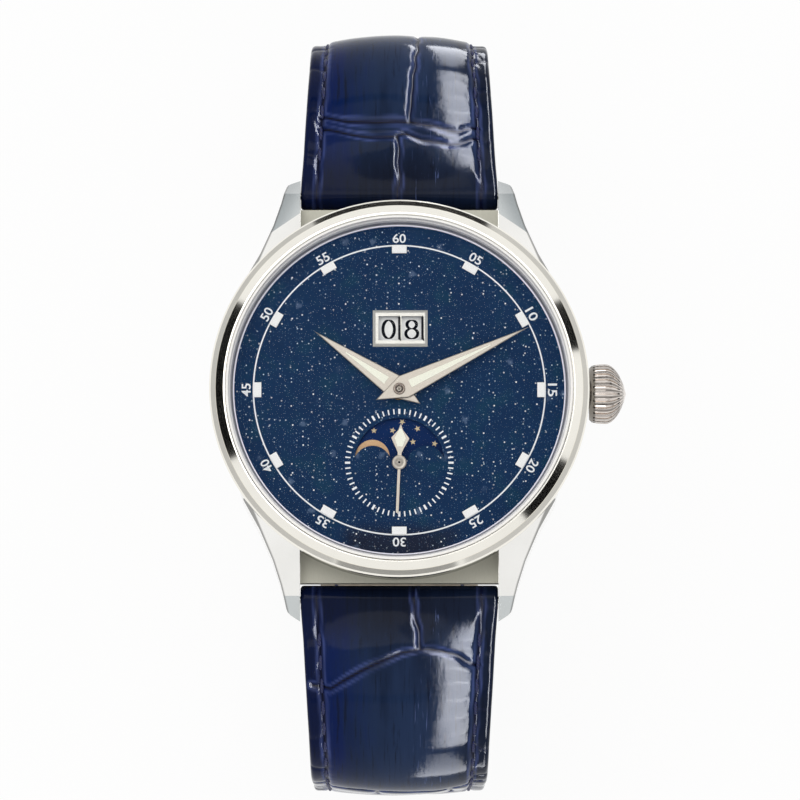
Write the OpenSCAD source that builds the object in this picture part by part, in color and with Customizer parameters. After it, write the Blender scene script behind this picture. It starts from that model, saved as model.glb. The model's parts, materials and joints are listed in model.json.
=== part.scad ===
// A wristwatch with a big date, small seconds and a moon window, on a padded leather strap.
// Millimetres. +Z runs out of the dial, +Y points to 12 o'clock, +X to the crown.
// The origin is the centre of the outer face of the case back.

/* [Case] */
// Wall of the case middle between its bore and its flank
case_wall = 2.2; // [2.1:0.05:2.4]
// How far the bezel stands out past the case flank
bezel_overhang = 0.4; // [0.2:0.05:0.6]
// Width of the bezel ring
bezel_w = 1.8; // [1.7:0.05:1.9]
// Height of the bezel ring
bezel_h = 2.1; // [1.9:0.05:2.4]
// Rise of the case middle above the dial's face
case_rise = 0.7; // [0.6:0.05:0.8]
// Thickness of the case back flange
back_flange_t = 0.9; // [0.8:0.05:1.1]
// How far the case back flange stays inside the case flank
back_inset = 0.7; // [0.6:0.05:0.75]
// Depth of the case back spigot inside the case middle
back_spigot_h = 0.4; // [0.3:0.05:0.5]
// Width of the case back ring around its window
back_ring_w = 6.4; // [6:0.1:7]
// Thickness of the crystal's gasket
crystal_gasket_t = 0.25; // [0.2:0.01:0.3]
// Thickness of the crystal at its edge
crystal_t = 1.05; // [0.9:0.05:1.2]
// Rise of the crystal's dome
crystal_dome = 0.3; // [0.2:0.05:0.4]

/* [Lugs] */
// Distance between the inner faces of a pair of lugs
lug_gap = 22; // [21.9:0.05:22.3]
// Distance of each spring bar from the case flank
bar_gap = 2; // [1.9:0.05:2.2]
// Height of the spring bars
bar_z = 1.2; // [1:0.05:1.4]
// Reach of the lug tips past the case flank
lug_l = 4.1; // [4:0.1:4.6]
// Radius of the arched top of the lugs
lug_top_r = 59; // [57:0.5:62]
// Radius of the arched underside of the lugs
lug_under_r = 110; // [100:1:120]
// Width of a lug at its tip
lug_tip_w = 1.5; // [1.4:0.05:1.8]
// Length of the slanted facet at the end of a lug
lug_facet = 2.2; // [1.8:0.1:2.6]
// Reach of the shelf between the lugs past the case flank
shelf_l = 0.25; // [0:0.05:0.3]
// Height of the shelf between the lugs
shelf_h = 1.5; // [1.2:0.05:1.7]
// Diameter of a spring bar's tube
bar_d = 1.5; // [1.3:0.05:1.6]
// Diameter of a spring bar's end pins
bar_pin_d = 0.8; // [0.7:0.05:0.9]
// Depth of the pin holes in the lugs
bar_pin_depth = 1; // [0.8:0.05:1.1]

/* [Crown] */
// Diameter of the crown
crown_d = 6.6; // [6.4:0.1:6.8]
// Length of the crown without its domed tip
crown_l = 3.7; // [3.6:0.05:4]
// Height of the domed tip on the crown's end
crown_tip_h = 0.4; // [0.3:0.05:0.5]
// Number of flutes around the crown
crown_flutes = 26; // [22:1:30]
// Clearance between the crown and the case flank
crown_gap = 0.4; // [0.3:0.05:0.6]
// Height of the crown's axis above the bridges
stem_rise = 1; // [0.95:0.05:1.05]
// How far the crown pulls out to set the hands
crown_pull = 1.6; // [1.5:0.05:1.6]
// Diameter of the winding stem
stem_d = 1.2; // [1.1:0.05:1.25]
// Outer diameter of the crown tube
tube_d = 3.2; // [3:0.1:3.3]

/* [Movement] */
// Wall of the main plate around the wheel train
plate_wall = 1.15; // [1.1:0.05:1.2]
// Room between the balance wheel and the main plate's wall
balance_room = 0.201; // [0.15:0.001:0.3]
// Width of the ring that holds the movement in the case
holder_w = 2.9; // [2.8:0.05:3]
// Gap between the case back and the rotor
rotor_gap = 0.25; // [0.2:0.05:0.35]
// Thickness of the rotor's rim
rotor_t = 0.8; // [0.7:0.05:0.85]
// Gap between the rotor and the bridges
bridge_gap = 0.15; // [0.1:0.05:0.2]
// Thickness of the bridges
bridge_t = 0.7; // [0.65:0.05:0.75]
// Height of the space for the wheel train
train_h = 2.2; // [2.2:0.05:2.4]
// Thickness of the main plate
plate_t = 0.9; // [0.8:0.05:1]
// Height of the space for the motion works under the dial
motion_h = 1; // [1:0.05:1.1]
// Thickness of the rotor's web
rotor_web_t = 0.3; // [0.25:0.05:0.35]
// How far the rotor stays inside the movement's edge
rotor_inset = 1; // [0.9:0.05:1.4]
// Diameter of the rotor bearing
bearing_d = 3.6; // [3.2:0.1:4]
// Diameter of the balance wheel
balance_d = 8.4; // [8:0.1:8.5]
// How far the barrel's drum stays inside the pitch circle of its teeth
barrel_rim = 0.33; // [0.3:0.01:0.5]
// Thickness of the train wheels
wheel_t = 0.2; // [0.15:0.01:0.22]
// Diameter of the pivots
pivot_d = 0.24; // [0.2:0.02:0.28]
// Diameter of the arbors
arbor_d = 0.6; // [0.5:0.02:0.62]
// Diameter of the jewels
jewel_d = 1.5; // [1.3:0.05:1.6]
// Diameter of the bridge screws' heads
screw_head_d = 1.5; // [1.3:0.05:1.6]

/* [Dial] */
// Width of the ledge in the case middle that the dial lies on
dial_ledge = 0.55; // [0.5:0.05:0.6]
// Thickness of the dial
dial_t = 0.4; // [0.35:0.05:0.45]
// Width of the flange ring on the dial
flange_w = 0.7; // [0.6:0.05:0.8]
// Height of the flange ring between the dial and the crystal
flange_h = 1.65; // [1.6:0.05:1.8]
// Distance of the small seconds axis below the centre
seconds_y = 8.1; // [8.08:0.02:8.12]
// Radius of the moon window
moon_window_r = 5; // [4.8:0.05:5]
// Radius of the two round humps that hide the moon
hump_r = 2.1; // [2:0.05:2.2]
// Distance of the humps from the small seconds axis
hump_x = 2.95; // [2.9:0.02:3]
// Sideways place of the date frame
date_x = 0.1; // [0:0.05:0.15]
// Upward place of the date frame
date_y = 6.85; // [6.8:0.05:6.95]
// Width of the date frame
date_frame_w = 6.05; // [5.9:0.05:6.2]
// Height of the date frame
date_frame_l = 4.05; // [3.9:0.05:4.2]
// Width of one date window
date_window_w = 2.25; // [2.1:0.05:2.3]
// Height of one date window
date_window_l = 2.7; // [2.5:0.05:2.8]
// Width of the bar between the date windows
date_bar_w = 0.3; // [0.26:0.02:0.4]
// Distance of the date digits from their disc's axis
digit_r = 4.85; // [4.8:0.05:4.9]
// Distance from the flange ring in to the hour blocks
block_inset = 2.12; // [2:0.02:2.3]
// Width of an hour block
block_w = 1.62; // [1.4:0.05:1.8]
// Length of an hour block
block_l = 0.88; // [0.7:0.05:1]
// Height of an hour block
block_h = 0.35; // [0.25:0.05:0.4]

/* [Hands] */
// Length of the hour hand from its pivot
hour_l = 11.4; // [10.8:0.1:12]
// Length of the minute hand from its pivot
minute_l = 15.9; // [15:0.1:16.2]
// Half width of the hands at their shoulders
shoulder_w = 1.3; // [1.1:0.05:1.4]
// Distance of the shoulders from the pivot
shoulder_y = 0.55; // [0.4:0.05:0.8]
// Length of the pointed tail of the hands
hand_tail = 2.85; // [2.6:0.05:3]
// Thickness of the hands
hand_t = 0.2; // [0.15:0.01:0.22]
// Angle of the hour hand from 12 o'clock, clockwise
hour_angle = 304.6; // [0:0.1:360]
// Angle of the minute hand from 12 o'clock, clockwise
minute_angle = 64.3; // [0:0.1:360]
// Angle of the seconds hand from 12 o'clock, clockwise
second_angle = 182.4; // [0:0.1:360]
// Length of the seconds hand's needle
needle_l = 5.6; // [5:0.1:5.8]
// Length of the seconds hand's diamond
diamond_l = 4.3; // [4:0.1:4.6]
// Half width of the seconds hand's diamond
diamond_w = 1; // [0.8:0.05:1.1]

/* [Strap] */
// Gap between the strap and each lug
strap_gap = 0.2; // [0.15:0.05:0.3]
// Width of the strap at the buckle
strap_end_w = 18; // [17.6:0.1:18.2]
// Thickness of the padded leather near the lugs
pad_t = 3.2; // [2.8:0.1:3.3]
// Thickness of the leather along the rest of the strap
leather_t = 1.33; // [1.2:0.02:1.4]
// Thickness of the lining
lining_t = 1.2; // [1:0.05:1.3]
// Length of the straight stretch next to the lugs
first_run = 6.4; // [6.2:0.1:7]
// Radius of the upper bend of the strap
upper_bend = 14; // [13.8:0.1:14.4]
// Length of the upright stretch of the strap
side_run = 10; // [8:0.5:12]
// Radius of the lower bend of the strap
lower_bend = 24; // [23.8:0.1:24.4]
// Gap between the tip of the tail and the open buckle
tail_gap = 2; // [1.5:0.1:4]
// Number of holes in the tail
tail_holes = 7; // [5:1:8]
// Distance between the holes in the tail
hole_pitch = 6.5; // [6:0.1:6.6]
// Diameter of the holes in the tail
hole_d = 2; // [1.8:0.1:2.2]
// Distance of the last hole from the tip of the tail
hole_end = 8; // [7.5:0.1:9]
// Width of each keeper along the strap, in degrees of the lower bend
keeper_turn = 11; // [9:0.5:12]
// Thickness of a keeper's leather
keeper_t = 0.9; // [0.8:0.05:1]
// Place of the sliding keeper on the lower bend, in degrees
free_keeper_at = 47; // [43:0.5:47]
// Place of the fixed keeper on the lower bend, in degrees
fixed_keeper_at = 64; // [64:0.5:67]

/* [Buckle] */
// Diameter of the buckle's bar
buckle_bar_d = 1.4; // [1.2:0.05:1.5]
// Distance from the buckle's bar to its outer bar
buckle_l = 9.5; // [9:0.1:10]
// Diameter of the buckle's outer bar
buckle_d = 2.2; // [2:0.05:2.3]
// Thickness of the buckle's side arms
buckle_arm_t = 1.5; // [1.3:0.05:1.7]
// Width of the tang
tang_w = 1.8; // [1.6:0.05:2]
// Thickness of the tang
tang_t = 0.75; // [0.65:0.05:0.8]

/* [Fits] */
// Radial clearance of a running fit
run_fit = 0.05; // [0.03:0.01:0.06]
// Radial clearance of the train pivots in their jewels
pivot_fit = 0.03; // [0.02:0.005:0.03]
// Clearance between fixed pieces that drop into each other
seat_fit = 0.05; // [0.03:0.01:0.06]
// Clearance between the strap and what surrounds it
strap_fit = 0.3; // [0.2:0.02:0.35]
// Share of the tooth pitch that a tooth fills
tooth_share = 0.4; // [0.36:0.01:0.42]

/* [Hidden] */
$fn = 72;

// A small overlap for cuts, and the reach of a cut that passes right through
eps = 0.01;
far = 60;

// Heights up through the watch
z_back = back_flange_t;
z_rotor = back_flange_t + back_spigot_h + rotor_gap;
z_rotor_top = z_rotor + rotor_t;
z_bridge = z_rotor_top + bridge_gap;
z_train = z_bridge + bridge_t;
z_plate = z_train + train_h;
z_motion = z_plate + plate_t;
z_dial = z_motion + motion_h;
z_face = z_dial + dial_t;
z_flange = z_face + flange_h;
z_crystal = z_flange + seat_fit;
z_case = z_face + case_rise;
z_bezel = z_case + bezel_h;
stem_z = z_train + stem_rise;

function polar(r, a) = [r * cos(a), r * sin(a)];
// One meeting point of two circles about the centre and about q, on the side that is +1 or -1
function meet(r1, q, r2, side) =
    let (d = norm(q), a = (r1 * r1 - r2 * r2 + d * d) / (2 * d), h = sqrt(r1 * r1 - a * a),
         u = q / d)
    [a * u.x - side * h * u.y, a * u.y + side * h * u.x];
function heading(p, q) = atan2(q.y - p.y, q.x - p.x);

module at(p) translate([p.x, p.y, 0]) children();
module disc(r, z0, z1) translate([0, 0, z0]) cylinder(r = r, h = z1 - z0);
module ring(ro, ri, z0, z1) difference() { disc(ro, z0, z1); disc(ri, z0 - 1, z1 + 1); }
module slab(z0, z1) translate([0, 0, z0]) linear_extrude(z1 - z0) children();
// Turns a shape built along +Z so that it runs along +X
module along_x() rotate([90, 0, 90]) children();

// The wheel train: teeth, modules and axes
tooth_m = [0.14, 0.11, 0.1, 0.09];
barrel_n = 84;
centre_pinion_n = 12;
centre_n = 80;
third_pinion_n = 10;
third_n = 75;
fourth_pinion_n = 10;
fourth_n = 70;
escape_pinion_n = 7;
escape_n = 15;
escape_r = 2.2;
barrel_r = tooth_m[0] * barrel_n / 2 - barrel_rim;
axis_centre = [0, 0];
axis_barrel = polar(tooth_m[0] * (barrel_n + centre_pinion_n) / 2, 60);
axis_fourth = [0, -seconds_y];
axis_third = meet(tooth_m[1] * (centre_n + third_pinion_n) / 2, axis_fourth,
    tooth_m[2] * (third_n + fourth_pinion_n) / 2, 1);
axis_escape = axis_fourth + polar(tooth_m[3] * (fourth_n + escape_pinion_n) / 2, 199.9);
axis_pallet = axis_escape + polar(2.92, 140);
axis_balance = axis_pallet + polar(4.33, 140);

// Radii outwards: the movement holds its balance, the case holds the movement
movement_r = norm(axis_balance) + balance_d / 2 + balance_room + plate_wall;
bridge_r = movement_r - 0.3;
wall_r = movement_r - plate_wall;
bore_r = movement_r + holder_w;
holder_r = bore_r - seat_fit;
spigot_r = bore_r - 2 * seat_fit;
flank_r = bore_r + case_wall;
bezel_r = flank_r + bezel_overhang;
bezel_inner_r = bezel_r - bezel_w;
crystal_r = bezel_inner_r - crystal_gasket_t - seat_fit;
dial_r = bore_r + dial_ledge;
dial_bore_r = dial_r + 2 * seat_fit;
dial_view_r = dial_r - flange_w;
back_flange_r = flank_r - back_inset;
back_window_r = back_flange_r - back_ring_w;
rotor_r = movement_r - rotor_inset;
block_r = dial_view_r - block_inset;
bar_y = flank_r + bar_gap;
lug_reach = flank_r + lug_l;
strap_w = lug_gap - 2 * strap_gap;

// Motion works: the wheel and pinion that slow the minute hand down for the hour hand
cannon_n = 12;
minute_n = 36;
minute_pinion_n = 10;
hour_n = 40;
cannon_m = 0.125;
hour_m = cannon_m * (cannon_n + minute_n) / (minute_pinion_n + hour_n);
axis_minute = polar(cannon_m * (cannon_n + minute_n) / 2, 200);

// Gear teeth: straight flanks below the pitch circle, tapering above it
module gear(n, m, turn = 0, tall = 1.1) {
    r = n * m / 2;
    half = 180 / n * tooth_share;
    root = r - 1.45 * m;
    tip = r + tall * m;
    polygon([for (i = [0 : n - 1]) let (c = turn + i * 360 / n)
        each [polar(root, c - half), polar(r, c - half), polar(tip, c - 0.35 * half),
              polar(tip, c + 0.35 * half), polar(r, c + half), polar(root, c + half)]]);
}
// A toothed wheel with a rim, a hub and arms
module wheel(n, m, turn, arms, z0, t) slab(z0, z0 + t) difference() {
    gear(n, m, turn, 0.95);
    difference() {
        circle(n * m / 2 - 4.2 * m);
        circle(0.9);
        for (i = [0 : arms - 1]) rotate(i * 360 / arms) translate([0, -0.22]) square([far, 0.44]);
    }
}
module pinion(n, m, turn, z0, z1) slab(z0, z1) gear(n, m, turn, 0.85);
// An arbor with a pivot at each end, run in the bridge's and the plate's jewels
module arbor(z0 = z_train + 0.06, z1 = z_plate - 0.06) {
    disc(arbor_d / 2, z0, z1);
    disc(pivot_d / 2, z_bridge + 0.1, z_plate + 0.5);
}
// Turns of two wheels in mesh: the one at p has a tooth, and the one at q with n teeth a gap
function tooth_towards(p, q) = heading(p, q);
function gap_towards(p, q, n) = heading(q, p) + 180 / n;

// The six screws that hold the case back
back_screw_places = [for (i = [0 : 5]) polar((bore_r + back_flange_r) / 2 + 0.12, 60 * i + 30)];
back_screw_r = 0.35;
back_screw_head_r = 0.6;

// Case middle: a round flank, four arched lugs and a shelf between each pair
lug_top_z = z_case - 0.1;
lug_under_z = bar_z;
lug_x = lug_gap / 2;
module lug_plan() polygon([[lug_x, flank_r - 12.6], [flank_r - 2.3, flank_r - 12.6],
    [flank_r - 3.4, flank_r - 8.4], [flank_r - 5.2, flank_r - 5.2], [lug_x + 2.95, lug_reach - 6],
    [lug_x + 2.1, lug_reach - 3.4], [lug_x + lug_tip_w, lug_reach - 1.1],
    [lug_x + lug_tip_w - 0.15, lug_reach - 0.8], [lug_x + lug_tip_w - 0.45, lug_reach - 0.55],
    [lug_x, lug_reach]]);
module lug_side() difference() {
    intersection() {
        translate([0, lug_top_z - lug_top_r]) circle(lug_top_r, $fn = 180);
        polygon([[0, -far], [lug_reach, -far], [lug_reach, -1.5],
            [lug_reach - lug_facet, lug_top_z - lug_top_r
                + sqrt(pow(lug_top_r, 2) - pow(lug_reach - lug_facet, 2))],
            [lug_reach - lug_facet, far], [0, far]]);
    }
    translate([0, lug_under_z - lug_under_r]) circle(lug_under_r, $fn = 180);
}
module lug() intersection() {
    translate([lug_x - 1, 0, 0]) along_x() linear_extrude(flank_r) lug_side();
    translate([0, 0, -far / 2]) linear_extrude(far) lug_plan();
}
module case_middle() color("lightgray") difference() {
    union() {
        rotate_extrude($fn = 180) polygon([[0, z_back], [back_flange_r, z_back],
            [flank_r - 0.2, z_back + 0.6], [flank_r, z_back + 2.1], [flank_r, z_case - 0.8],
            [flank_r - 0.3, z_case], [0, z_case]]);
        for (sx = [0, 1], sy = [0, 1]) mirror([sx, 0, 0]) mirror([0, sy, 0]) lug();
        for (sy = [0, 1]) mirror([0, sy, 0]) translate([-lug_x - eps, 0, z_back])
            cube([lug_gap + 2 * eps, flank_r + shelf_l, shelf_h]);
    }
    disc(bore_r, -far, far);
    disc(dial_bore_r, z_dial, far);
    disc(back_flange_r + seat_fit, -far, z_back);
    translate([0, 0, stem_z]) along_x() cylinder(d = tube_d, h = far);
    for (sy = [-1, 1]) translate([-lug_x - bar_pin_depth, sy * bar_y, bar_z]) along_x()
        cylinder(d = bar_pin_d + 2 * run_fit, h = lug_gap + 2 * bar_pin_depth);
    for (p = back_screw_places) at(p) disc(back_screw_r, 0, z_back + 1.6);
}

module bezel() color("whitesmoke") rotate_extrude($fn = 180) polygon([
    [bezel_inner_r, z_case], [bezel_inner_r, z_bezel - 0.12], [bezel_inner_r + 0.12, z_bezel],
    [bezel_inner_r + 0.25, z_bezel], [bezel_r - 0.72, z_bezel - 0.5],
    [bezel_r - 0.68, z_bezel - 0.62], [bezel_r - 0.18, z_bezel - 0.88],
    [bezel_r, z_bezel - 1.15], [bezel_r, z_case + 0.25], [bezel_r - 0.2, z_case]]);

dome_steps = 8;
module crystal() color("lightcyan", 0.35) rotate_extrude($fn = 180) polygon(concat(
    [[0, z_crystal], [crystal_r, z_crystal], [crystal_r, z_crystal + crystal_t - 0.15]],
    [for (i = [dome_steps : -1 : 0]) let (t = i / dome_steps)
        [(crystal_r - 0.15) * t, z_crystal + crystal_t + crystal_dome * (1 - t * t)]]));
module crystal_gasket() color("white")
    ring(bezel_inner_r - seat_fit / 2, crystal_r + seat_fit / 2,
        z_crystal, z_crystal + crystal_t - 0.2);
module flange_ring() color("lightsteelblue") rotate_extrude($fn = 180) polygon([
    [dial_view_r, z_face], [dial_bore_r - seat_fit, z_face],
    [dial_bore_r - seat_fit, z_flange], [dial_view_r + 0.45, z_flange],
    [dial_view_r + 0.12, z_face + 0.35], [dial_view_r, z_face + 0.35]]);

// Case back: a screwed ring, its window, its gasket and six screws
gasket_ro = bore_r + 0.45;
gasket_ri = bore_r + 0.08;
module case_back_ring() color("silver") difference() {
    union() {
        disc(back_flange_r, 0, z_back);
        disc(spigot_r, 0, z_back + back_spigot_h);
    }
    disc(back_window_r + seat_fit, -1, z_back);
    disc(back_window_r - 0.5, -1, far);
    ring(gasket_ro, gasket_ri, z_back - 0.2, z_back + 1);
    for (p = back_screw_places) at(p) {
        disc(back_screw_r + seat_fit, -1, z_back + 1);
        disc(back_screw_head_r, -1, 0.4);
    }
}
module case_back_window() color("lightcyan", 0.35) disc(back_window_r, 0, z_back);
module case_back_gasket() color("black") ring(gasket_ro - eps, gasket_ri + eps, z_back - 0.2, z_back);
module case_back_screws() color("silver") for (p = back_screw_places) at(p) difference() {
    union() {
        disc(back_screw_r - eps, 0, z_back + 1.4);
        disc(back_screw_head_r - seat_fit, 0.02, 0.4);
    }
    translate([-1, -0.07, -1]) cube([2, 0.14, 1.18]);
}

crown_x = flank_r + crown_gap;
crown_end = crown_x + crown_l;
crown_recess = crown_l - 0.9;
tube_start = bore_r + 0.05;
tube_end = crown_x + crown_recess - 0.4;
module crown_tube() color("silver") translate([tube_start, 0, stem_z]) along_x() difference() {
    cylinder(d = tube_d, h = tube_end - tube_start);
    translate([0, 0, -1]) cylinder(r = stem_d / 2 + 3 * run_fit, h = far);
}

// Movement holder and the clamps that keep the movement in it
clamp_turns = [50, 170, 290];
clamp_screw_r = movement_r + 1.3;
clamp_shank_r = 0.3;
module movement_holder() color("darkgray") difference() {
    ring(holder_r, movement_r + seat_fit, z_train, z_dial - seat_fit);
    translate([0, 0, stem_z]) along_x() cylinder(r = stem_d / 2 + 0.3, h = far);
    for (a = clamp_turns) at(polar(clamp_screw_r, a)) disc(clamp_shank_r, 0, z_train + 1.2);
}
module case_clamps() color("silver") for (a = clamp_turns) rotate(a) difference() {
    translate([bridge_r + 0.05, -0.8, z_train - 0.25]) cube([2.1, 1.6, 0.25]);
    translate([clamp_screw_r, 0, 0]) disc(clamp_shank_r + seat_fit, 0, far);
}
module slotted_screw(head_r, head_z, head_t, shank_r, shank_l) difference() {
    union() {
        disc(head_r, head_z, head_z + head_t);
        disc(shank_r, head_z, head_z + head_t + shank_l);
    }
    translate([-head_r - 1, -0.1, head_z - 1]) cube([2 * head_r + 2, 0.2, 1.12]);
}
module clamp_screws() color("steelblue") for (a = clamp_turns) rotate(a)
    translate([clamp_screw_r, 0, 0]) rotate(35)
        slotted_screw(0.6, z_train - 0.55, 0.3, clamp_shank_r - eps, 1.2);

// Spring bars that carry the strap
module spring_bar() translate([0, bar_y, bar_z]) along_x() {
    tube_l = lug_gap - 0.6;
    translate([0, 0, -tube_l / 2]) cylinder(d = bar_d, h = tube_l);
    translate([0, 0, -lug_x - bar_pin_depth + 0.1])
        cylinder(d = bar_pin_d, h = lug_gap + 2 * bar_pin_depth - 0.2);
}
module spring_bar_12() color("silver") spring_bar();
module spring_bar_6() color("silver") mirror([0, 1, 0]) spring_bar();

// Dial with its moon window, date opening and hand holes
date_opening_w = 2 * date_window_w + date_bar_w;
module moon_window() difference() {
    intersection() { circle(moon_window_r); translate([-far / 2, -0.2]) square([far, far / 2]); }
    for (sx = [-1, 1]) translate([sx * hump_x, -0.2]) circle(hump_r);
    circle(0.95);
}
module dial() color("midnightblue") slab(z_dial, z_face) difference() {
    circle(dial_r, $fn = 180);
    circle(hour_pipe_r + 0.15);
    translate(axis_fourth) circle(0.35);
    translate([date_x, date_y]) square([date_opening_w, date_window_l], center = true);
    translate(axis_fourth) moon_window();
}
module hour_blocks() color("white") for (i = [0 : 11]) rotate(30 * i)
    translate([-block_w / 2, block_r - block_l, z_face]) cube([block_w, block_l, block_h]);
date_frame_h = 0.35;
module bevel_bar(l, w, h, b) rotate([90, 0, 0]) translate([0, 0, -w]) linear_extrude(2 * w)
    polygon([[-l / 2, 0], [l / 2, 0], [l / 2, 0.05], [l / 2 - b, h], [b - l / 2, h], [-l / 2, 0.05]]);
module date_frame() color("gainsboro") translate([date_x, date_y, z_face]) difference() {
    intersection() {
        bevel_bar(date_frame_w, date_frame_l, date_frame_h, 0.3);
        rotate(90) bevel_bar(date_frame_l, date_frame_w, date_frame_h, 0.3);
    }
    for (sx = [-1, 1]) translate([sx * (date_window_w + date_bar_w) / 2, 0, 0])
        cube([date_window_w, date_window_l, 2], center = true);
}

// Main plate with its outer wall, stem block and disc posts
stem_block = [13.9, movement_r - 0.9];
disc_axis_x = (date_window_w + date_bar_w) / 2 + digit_r;
disc_r = disc_axis_x - 0.05;
axis_ones = [date_x + disc_axis_x, date_y];
axis_tens = [date_x - disc_axis_x, date_y];
post_r = 0.55;
seconds_post_r = 0.7;
minute_post_r = 0.3;
lever_post_r = 0.4;
barrel_arbor_r = 0.6;
bridge_shank_r = 0.35;
z_post = z_dial - 0.12;
lever_arm = 3.2;
lever_swing = asin(crown_pull / 2 / lever_arm);
groove_x = 11.8;
axis_lever = [groove_x + crown_pull / 2, -lever_arm - 0.57];
jewel_places = [axis_third, axis_fourth, axis_escape, axis_balance, axis_centre];
module main_plate() color("lightgray") difference() {
    union() {
        disc(movement_r, z_plate, z_motion);
        ring(movement_r, wall_r, z_train, z_plate + eps);
        translate([stem_block.x, -1.3, z_train + 0.1])
            cube([stem_block.y - stem_block.x, 2.6, train_h]);
        for (p = [axis_ones, axis_tens]) at(p) disc(post_r, z_plate, z_post);
        at(axis_fourth) disc(seconds_post_r, z_plate, z_post);
        at(axis_minute) disc(minute_post_r, z_plate, z_post);
        at(axis_lever) disc(lever_post_r, z_train + 1.4, z_plate + eps);
        for (p = pallet_feet) at(p) disc(0.4, z_pallet_bridge + 0.2, z_plate + eps);
    }
    translate([0, 0, stem_z]) along_x() cylinder(r = stem_d / 2 + run_fit, h = far);
    for (p = [axis_third, axis_escape, axis_balance]) at(p) jewel_seat(z_motion, -1);
    at(axis_centre) disc(arbor_d / 2 + run_fit, z_plate - 1, far);
    at(axis_fourth) disc(seconds_arbor_r + 0.07, z_plate - 1, far);
    at(axis_pallet) disc(pivot_d / 2 + pivot_fit, z_plate - 1, far);
    at(axis_barrel) disc(barrel_arbor_r + run_fit, z_plate - 1, z_plate + 0.6);
    for (p = bridge_screw_places) at(p) disc(bridge_shank_r, z_train - 1, z_train + 1.4);
}
// A jewel's seat: a shallow counterbore with a clear hole behind it. side is +1 for the back
module jewel_seat(z, side) {
    translate([0, 0, side > 0 ? z - 1 : z - 0.35]) cylinder(d = jewel_d, h = 1.35);
    disc(0.4, z_bridge - 1, far);
}
module jewel(z0) color("crimson") ring(jewel_d / 2 - eps, pivot_d / 2 + pivot_fit, z0, z0 + 0.34);
module jewels() {
    for (p = jewel_places) at(p) jewel(z_bridge + eps);
    for (p = [axis_third, axis_escape, axis_balance]) at(p) jewel(z_motion - 0.35);
}

// Bridges, seen through the case back
bridge_split_y = 2.1;
bridge_seam = 0.3;
balance_well = balance_d / 2 + 0.5;
cock_turn = heading([0, 0], axis_balance);
cock_foot = polar(movement_r - 0.75, cock_turn);
bridge_screw_places = concat([for (a = [28, 92, 152]) polar(movement_r - 0.85, a)],
    [for (a = [-8, -50, -95]) polar(movement_r - 0.85, a)],
    [polar(movement_r - 0.85, cock_turn - 3.6), polar(movement_r - 0.85, cock_turn + 3.6)]);
module screw_holes() for (p = bridge_screw_places) translate(p) circle(bridge_shank_r);
module screw_heads() for (p = bridge_screw_places) at(p)
    disc(screw_head_d / 2 + seat_fit, z_bridge - 1, z_bridge + 0.35);
module balance_opening() {
    translate(axis_balance) circle(balance_well);
    rotate(cock_turn) polygon([[6, -1.8], [movement_r, -2.6], [movement_r, 2.6], [6, 1.8]]);
}
module train_bridge() color("gainsboro") difference() {
    slab(z_bridge, z_train) difference() {
        intersection() {
            circle(bridge_r);
            translate([-far / 2, -far]) square([far, far + bridge_split_y - bridge_seam / 2]);
        }
        balance_opening();
        screw_holes();
        translate(axis_pallet) circle(1.6);
    }
    screw_heads();
    for (p = [axis_third, axis_fourth, axis_escape, axis_centre]) at(p) jewel_seat(z_bridge, 1);
}
ratchet_r = 3.4;
module barrel_bridge() color("gainsboro") difference() {
    slab(z_bridge, z_train) difference() {
        intersection() {
            circle(bridge_r);
            translate([-far / 2, bridge_split_y + bridge_seam / 2]) square([far, far]);
        }
        screw_holes();
        translate(axis_barrel) circle(barrel_arbor_r + run_fit);
    }
    screw_heads();
    at(axis_barrel) disc(ratchet_r + 0.2, z_bridge - 1, z_bridge + 0.3);
}
module balance_cock() color("gainsboro") difference() {
    slab(z_bridge, z_train) difference() {
        union() {
            translate(axis_balance) circle(1.5);
            rotate(cock_turn) polygon([[norm(axis_balance) - 0.4, -1.2], [wall_r, -1.35],
                [wall_r, -2.2], [bridge_r - 0.3, -2.2], [bridge_r - 0.3, 2.2], [wall_r, 2.2],
                [wall_r, 1.35], [norm(axis_balance) - 0.4, 1.2]]);
        }
        screw_holes();
    }
    screw_heads();
    at(axis_balance) jewel_seat(z_bridge, 1);
}
module bridge_screws() color("steelblue") for (i = [0 : len(bridge_screw_places) - 1])
    at(bridge_screw_places[i]) rotate(37 * i)
        slotted_screw(screw_head_d / 2, z_bridge + 0.02, 0.33, bridge_shank_r - eps, 1.5);

// Pallet bridge: a bar on two feet across the pallet fork's pivot
z_pallet_bridge = z_train + 0.95;
pallet_cross = heading(axis_escape, axis_balance) + 90;
pallet_feet = [for (s = [-1, 1]) axis_pallet + polar(2.2 * s, pallet_cross)];
module pallet_bridge() color("gainsboro") difference() {
    slab(z_pallet_bridge, z_pallet_bridge + 0.2) difference() {
        union() {
            translate(axis_pallet) rotate(pallet_cross) square([4.4, 0.7], center = true);
            for (p = pallet_feet) translate(p) circle(0.5);
        }
        translate(axis_pallet) circle(pivot_d / 2 + pivot_fit);
    }
}

// Self-winding rotor on its bearing
module rotor_bearing() color("silver") difference() {
    disc(bearing_d / 2, z_rotor + 0.1, z_bridge);
    for (i = [0 : 2]) rotate(120 * i + 90) translate([bearing_d / 2 - 0.7, -0.12, 0])
        cube([0.5, 0.24, z_rotor + 0.35]);
    disc(0.35, 0, z_rotor + 0.4);
}
module rotor() color("silver") difference() {
    union() {
        disc(bearing_d / 2 + 0.9, z_rotor + 0.2, z_rotor_top);
        intersection() {
            union() {
                disc(rotor_r, z_rotor_top - rotor_web_t, z_rotor_top);
                ring(rotor_r, rotor_r - 2.3, z_rotor, z_rotor_top);
            }
            rotate(250) translate([-far / 2, 0, 0]) cube([far, far, far]);
        }
    }
    disc(bearing_d / 2 + run_fit, 0, far);
}

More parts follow.
